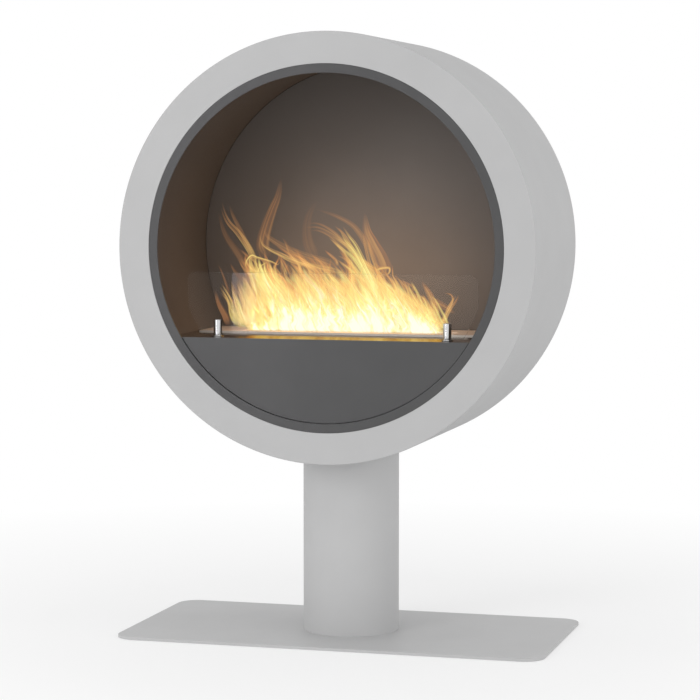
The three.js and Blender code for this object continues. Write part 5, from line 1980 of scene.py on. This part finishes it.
@dataclass(frozen=True)
class Strands(FlameLayer):
    """The large strands, each parted into threads along a smooth curve.

    Attributes:
        rows: A thread's points along it.
        spread: How a strand's threads part: at its foot, further on, and the turn that makes.
        phase: The greatest phase in radians of a thread's ripple and weave.
        ripple: How far a thread wavers along the slot.
        ripple_turns: The least and the greatest turn in radians of its ripple.
        weave: How far it wavers across the slot.
        weave_turn: The turn in radians of its weave.
        shortening: How much shorter an outer thread is, at most.
        shortening_least: The least share of that.
        thinning: The power of the threads' number that their width falls with.
        yaw: How far a thread is turned about the vertical, at most.
        shape: The shape of its ribbon.
    """

    rows: int = 34
    spread: Triple = (0.35, 0.75, 2.4)
    phase: float = 6.0
    ripple: float = 0.0009
    ripple_turns: Pair = (5.0, 9.0)
    weave: float = 0.004
    weave_turn: float = 3.0
    shortening: float = 0.28
    shortening_least: float = 0.3
    thinning: float = 0.6
    yaw: float = 0.2
    shape: RibbonShape = RibbonShape()

    def veils(self, draught: Draught) -> list[Veil]:
        """Return the threads, strand by strand; their paths have the draught in them."""
        random = np.random.default_rng(self.seed)
        return [self._thread(random, strand, 2.0 * (thread + 0.5) / strand.threads - 1.0)
                for strand in STRANDS for thread in range(strand.threads)]

    def _thread(self, random: np.random.Generator, strand: Strand, offset: float) -> Veil:
        """Make one thread of a strand.

        Args:
            random: The layer's random draws.
            strand: The strand, in millimetres.
            offset: The thread's place across the strand, -1 to 1.

        Returns:
            The thread.
        """
        rise = np.linspace(0.0, 1.0, self.rows)
        path, width = np.array(strand.path) / MM_IN_METRE, strand.width / MM_IN_METRE
        curve = np.stack([smooth_through(path[:, k], rise) for k in range(2)], axis=-1)
        run = unit_rows(np.gradient(curve, axis=0))
        phase = random.uniform(0.0, self.phase)
        low, more, turn = self.spread
        aside = offset * width / 2.0 * (low + more * np.sin(rise * turn))
        aside += self.ripple * np.sin(rise * random.uniform(*self.ripple_turns) + phase)
        moved = curve + aside[:, None] * np.stack([run[:, 1], -run[:, 0]], axis=-1)
        short = 1.0 - self.shortening * abs(offset) * random.uniform(self.shortening_least, 1.0)
        x, z = (np.interp(rise * short, rise, moved[:, k]) for k in range(2))
        y = strand.depth / MM_IN_METRE + self.weave * np.sin(rise * self.weave_turn + phase)
        thread = replace(strand, width=width / strand.threads ** self.thinning)
        return self.shape.veil(np.stack([x, y, FLAME_FOOT + z], axis=-1), thread,
                               random.uniform(-self.yaw, self.yaw), random.uniform(0.0, STREAK_SHIFT))


@dataclass
class Flame:
    """The flame over the slot, as thin glowing layers that ride on the burner."""

    draught: Draught = Draught()
    layers: tuple[FlameLayer, ...] = (
        Sheets("flame_sheets", FlameGlow("flame_sheet", 1.10, (40.0, 1.7), 0.85, 0.30), 11),
        Tongues("flame_tongues", FlameGlow("flame_tongue", 1.06, (3.2, 1.1), 0.75, 0.24), 23),
        Strands("flame_strands", FlameGlow("flame_strand", 1.04, (3.0, 0.8), 0.70, 0.14), 31))

    def make(self) -> None:
        """Make the flame's layers."""
        for layer in self.layers:
            self._piece(layer.name, layer.veils(self.draught), layer.glow)

    @staticmethod
    def _piece(name: str, veils: Sequence[Veil], glow: FlameGlow) -> None:
        """Join grids into one piece, with its flow map, heat and cover.

        Args:
            name: The piece's name.
            veils: The grids.
            glow: The piece's material.
        """
        faces: list[tuple[int, int, int, int]] = []
        start = 0
        for veil in veils:
            number = start + np.arange(veil.heat.size).reshape(veil.heat.shape)
            faces += list(zip(number[:-1, :-1].ravel(), number[1:, :-1].ravel(), number[1:, 1:].ravel(),
                              number[:-1, 1:].ravel()))
            start += veil.heat.size
        places = np.concatenate([veil.place.reshape(-1, 3) for veil in veils])
        piece = mesh_piece(name, places + np.array((0.0, 0.0, DRUM.axis_height)), faces)
        mesh = piece.data
        corners = np.zeros(len(mesh.loops), dtype=np.int32)
        mesh.loops.foreach_get("vertex_index", corners)
        flow = np.concatenate([veil.flow.reshape(-1, 2) for veil in veils])
        layer = mesh.uv_layers.new(name=FLAME_FLOW)
        layer.data.foreach_set("uv", flow[corners].astype(np.float32).ravel())
        for attribute, grids in ((FLAME_HEAT, [veil.heat for veil in veils]),
                                 (FLAME_COVER, [veil.cover for veil in veils])):
            made = mesh.attributes.new(attribute, "FLOAT", "POINT")
            made.data.foreach_set("value", np.concatenate([g.ravel() for g in grids]).astype(np.float32))
        mesh.shade_smooth()
        mesh.materials.append(glow.build())
        piece.visible_shadow = False
        piece.visible_diffuse = False
        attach(piece, Body.BURNER.value)
        LOG.info("made %s", name)


def unit(values: np.ndarray) -> np.ndarray:
    """Keep values in 0 to 1."""
    return np.clip(values, 0.0, 1.0)


def unit_rows(rows: np.ndarray) -> np.ndarray:
    """Return the directions of rows of vectors."""
    return rows / np.linalg.norm(rows, axis=1, keepdims=True)


def between(ends: Pair, share: np.ndarray | float) -> np.ndarray | float:
    """Return what lies at a share of the way from the first end to the last."""
    return ends[0] + (ends[1] - ends[0]) * share


def smooth_through(values: np.ndarray, spots: np.ndarray) -> np.ndarray:
    """Return a smooth curve through even values (Catmull-Rom).

    Args:
        values: The values, evenly from 0 to 1.
        spots: Where the curve is wanted, 0 to 1.

    Returns:
        The curve's values.
    """
    step = 1.0 / (len(values) - 1)
    slopes = np.gradient(values)
    index = np.clip((spots / step).astype(int), 0, len(values) - 2)
    t = spots / step - index
    return ((2 * t ** 3 - 3 * t ** 2 + 1) * values[index] + (t ** 3 - 2 * t ** 2 + t) * slopes[index]
            + (-2 * t ** 3 + 3 * t ** 2) * values[index + 1] + (t ** 3 - t ** 2) * slopes[index + 1])


# Studio


@dataclass(frozen=True)
class Softbox:
    """A square softbox, with its place, what it faces, its size and its power."""

    name: str
    place: Place
    target: Place
    size: float
    power: float


@dataclass
class Studio:
    """The floor, the light and the camera.

    Attributes:
        glows: Each flame light's place along the slot and its share of the glow's power.
        strip: The corners of the bright strip that the glass and the metal mirror.
        strip_passes: The mirrors in a row after which the strip isn't seen.
    """

    softboxes: tuple[Softbox, ...] = (
        Softbox("key_softbox", (-1.45, -2.68, 1.25), (0.0, -0.1, 0.50), 1.2, 22.0),
        Softbox("side_softbox", (3.0, -0.5, 0.75), (0.0, 0.0, 0.4), 2.0, 14.0),
        Softbox("low_softbox", (0.2, -3.4, 0.45), (0.0, 0.0, 0.25), 1.2, 8.0))
    glows: tuple[Pair, ...] = ((-0.11, 1.0), (0.0, 1.0), (0.10, 0.6))
    glow_place: Pair = (-0.01, 0.535)
    glow_radius: float = 0.045
    glow_power: float = 0.55
    glow_colour: Colour = (1.0, 0.58, 0.31)
    strip: tuple[Place, ...] = ((-0.820, -2.1, 0.1), (-0.758, -2.1, 0.1), (-0.758, -2.1, 1.5),
                                (-0.820, -2.1, 1.5))
    strip_colour: Colour = (1.0, 0.93, 1.0)
    strip_strength: float = 9.0
    strip_passes: float = 1.5
    sky: float = 0.86
    floor_tone: float = 0.92
    floor_reach: float = 14.0
    floor_z: float = -0.0004
    floor_fade: tuple[float, float, float, float] = (0.40, 1.0, 0.50, 1.5)
    camera_place: Place = (1.02365, -3.65487, 0.72965)
    camera_yaw: float = 15.6766
    camera_pitch: float = 4.3144
    lens: float = 125.115
    sensor: float = 36.0
    clip: Pair = (0.05, 60.0)

    def make(self) -> None:
        """Make the floor, the sky, the lamps and the camera."""
        self._floor()
        self._sky()
        for box in self.softboxes:
            self._softbox(box)
        for index, (x, share) in enumerate(self.glows):
            self._glow(f"flame_light_{index + 1}", x, share)
        self._strip()
        self._camera()

    def _sky(self) -> None:
        """Make an even pale sky that is white to the eye and in metal and glass."""
        shader = ShaderTree("studio", sky=True)
        light = shader.node("ShaderNodeBackground", Color=WHITE, Strength=self.sky).outputs[0]
        seen = shader.node("ShaderNodeBackground", Color=WHITE).outputs[0]
        path = shader.node("ShaderNodeLightPath").outputs
        either = shader.math("MAXIMUM", path["Is Camera Ray"], path["Is Glossy Ray"])
        either = shader.math("MAXIMUM", either, path["Is Transmission Ray"])
        bpy.context.scene.world = shader.finish(shader.mix(either, light, seen))

    def _floor(self) -> None:
        """Make the pale floor, which fades to white away from the object and keeps its shadow."""
        shader = ShaderTree("pale_floor")
        fade = shader.spread(shader.length(shader.place()), *self.floor_fade)
        seen = shader.math("MULTIPLY", fade, shader.node("ShaderNodeLightPath").outputs["Is Camera Ray"])
        plain = shader.node("ShaderNodeBsdfDiffuse", Color=(self.floor_tone,) * 3).outputs[0]
        white = shader.node("ShaderNodeEmission", Color=WHITE, Strength=1.0).outputs[0]
        reach, z = self.floor_reach, self.floor_z
        floor = mesh_piece("studio_floor", [(-reach, -reach, z), (reach, -reach, z), (reach, reach, z),
                                            (-reach, reach, z)], [(0, 1, 2, 3)])
        floor.data.materials.append(shader.finish(shader.mix(seen, plain, white)))

    def _strip(self) -> None:
        """Stand a bright strip in front, which only the glass and the metal mirror."""
        shader = ShaderTree("strip_light")
        depth = shader.node("ShaderNodeLightPath").outputs["Ray Depth"]
        first = shader.math("LESS_THAN", depth, self.strip_passes)
        glow = shader.node("ShaderNodeEmission", Color=self.strip_colour,
                           Strength=shader.math("MULTIPLY", first, self.strip_strength))
        strip = mesh_piece("reflected_strip", self.strip, [(0, 3, 2, 1)])
        strip.data.materials.append(shader.finish(glow.outputs[0]))
        shader.owner.cycles.emission_sampling = "NONE"
        hide_from(strip, "camera", "diffuse", "shadow", "transmission", "volume_scatter")

    @staticmethod
    def _softbox(box: Softbox) -> None:
        """Hang a softbox that faces its target.

        Args:
            box: The softbox.
        """
        light = bpy.data.lights.new(box.name, "AREA")
        light.size = box.size
        light.energy = box.power
        lamp = linked(box.name, light)
        lamp.location = box.place
        lamp.rotation_mode = "QUATERNION"
        lamp.rotation_quaternion = (Vector(box.target) - Vector(box.place)).to_track_quat("-Z", "Y")
        hide_from(lamp, "camera", "glossy", "transmission")

    def _glow(self, name: str, x: float, share: float) -> None:
        """Put one of the flame's own warm lights inside it.

        Args:
            name: The light's name.
            x: Its place along the slot.
            share: Its share of the glow's power.
        """
        light = bpy.data.lights.new(name, "POINT")
        light.shadow_soft_size = self.glow_radius
        light.energy = self.glow_power * share
        light.color = self.glow_colour
        lamp = linked(name, light)
        lamp.location = (x, *self.glow_place)
        hide_from(lamp, "camera", "glossy", "transmission")

    def _camera(self) -> None:
        """Stand the camera where the photograph was taken from."""
        data = bpy.data.cameras.new("camera")
        data.lens = self.lens
        data.sensor_width = self.sensor
        data.clip_start, data.clip_end = self.clip
        camera = linked("camera", data)
        camera.location = self.camera_place
        camera.rotation_euler = (math.radians(90.0 - self.camera_pitch), 0.0, math.radians(self.camera_yaw))
        bpy.context.scene.camera = camera


def hide_from(piece: Piece, *rays: str) -> None:
    """Hide an object from kinds of rays."""
    for ray in rays:
        setattr(piece, f"visible_{ray}", False)


def main() -> None:
    """Build the studio, the fireplace's looks, sub-assembly by sub-assembly, and the flame."""
    logging.basicConfig(level=logging.INFO, format="%(name)s: %(message)s")
    palette = Palette()
    setting = SettingOut(palette)
    kinds = (Stand, Casing, Firebox, Hearth, Burner, GlassScreen)
    for part in (Studio(), *(kind(palette, setting) for kind in kinds), Flame()):
        LOG.info("building %s", type(part).__name__)
        part.make()
    scene = bpy.context.scene
    scene.view_settings.view_transform = "Standard"
    scene.cycles.transparent_max_bounces = 48


if __name__ == "__main__":
    main()
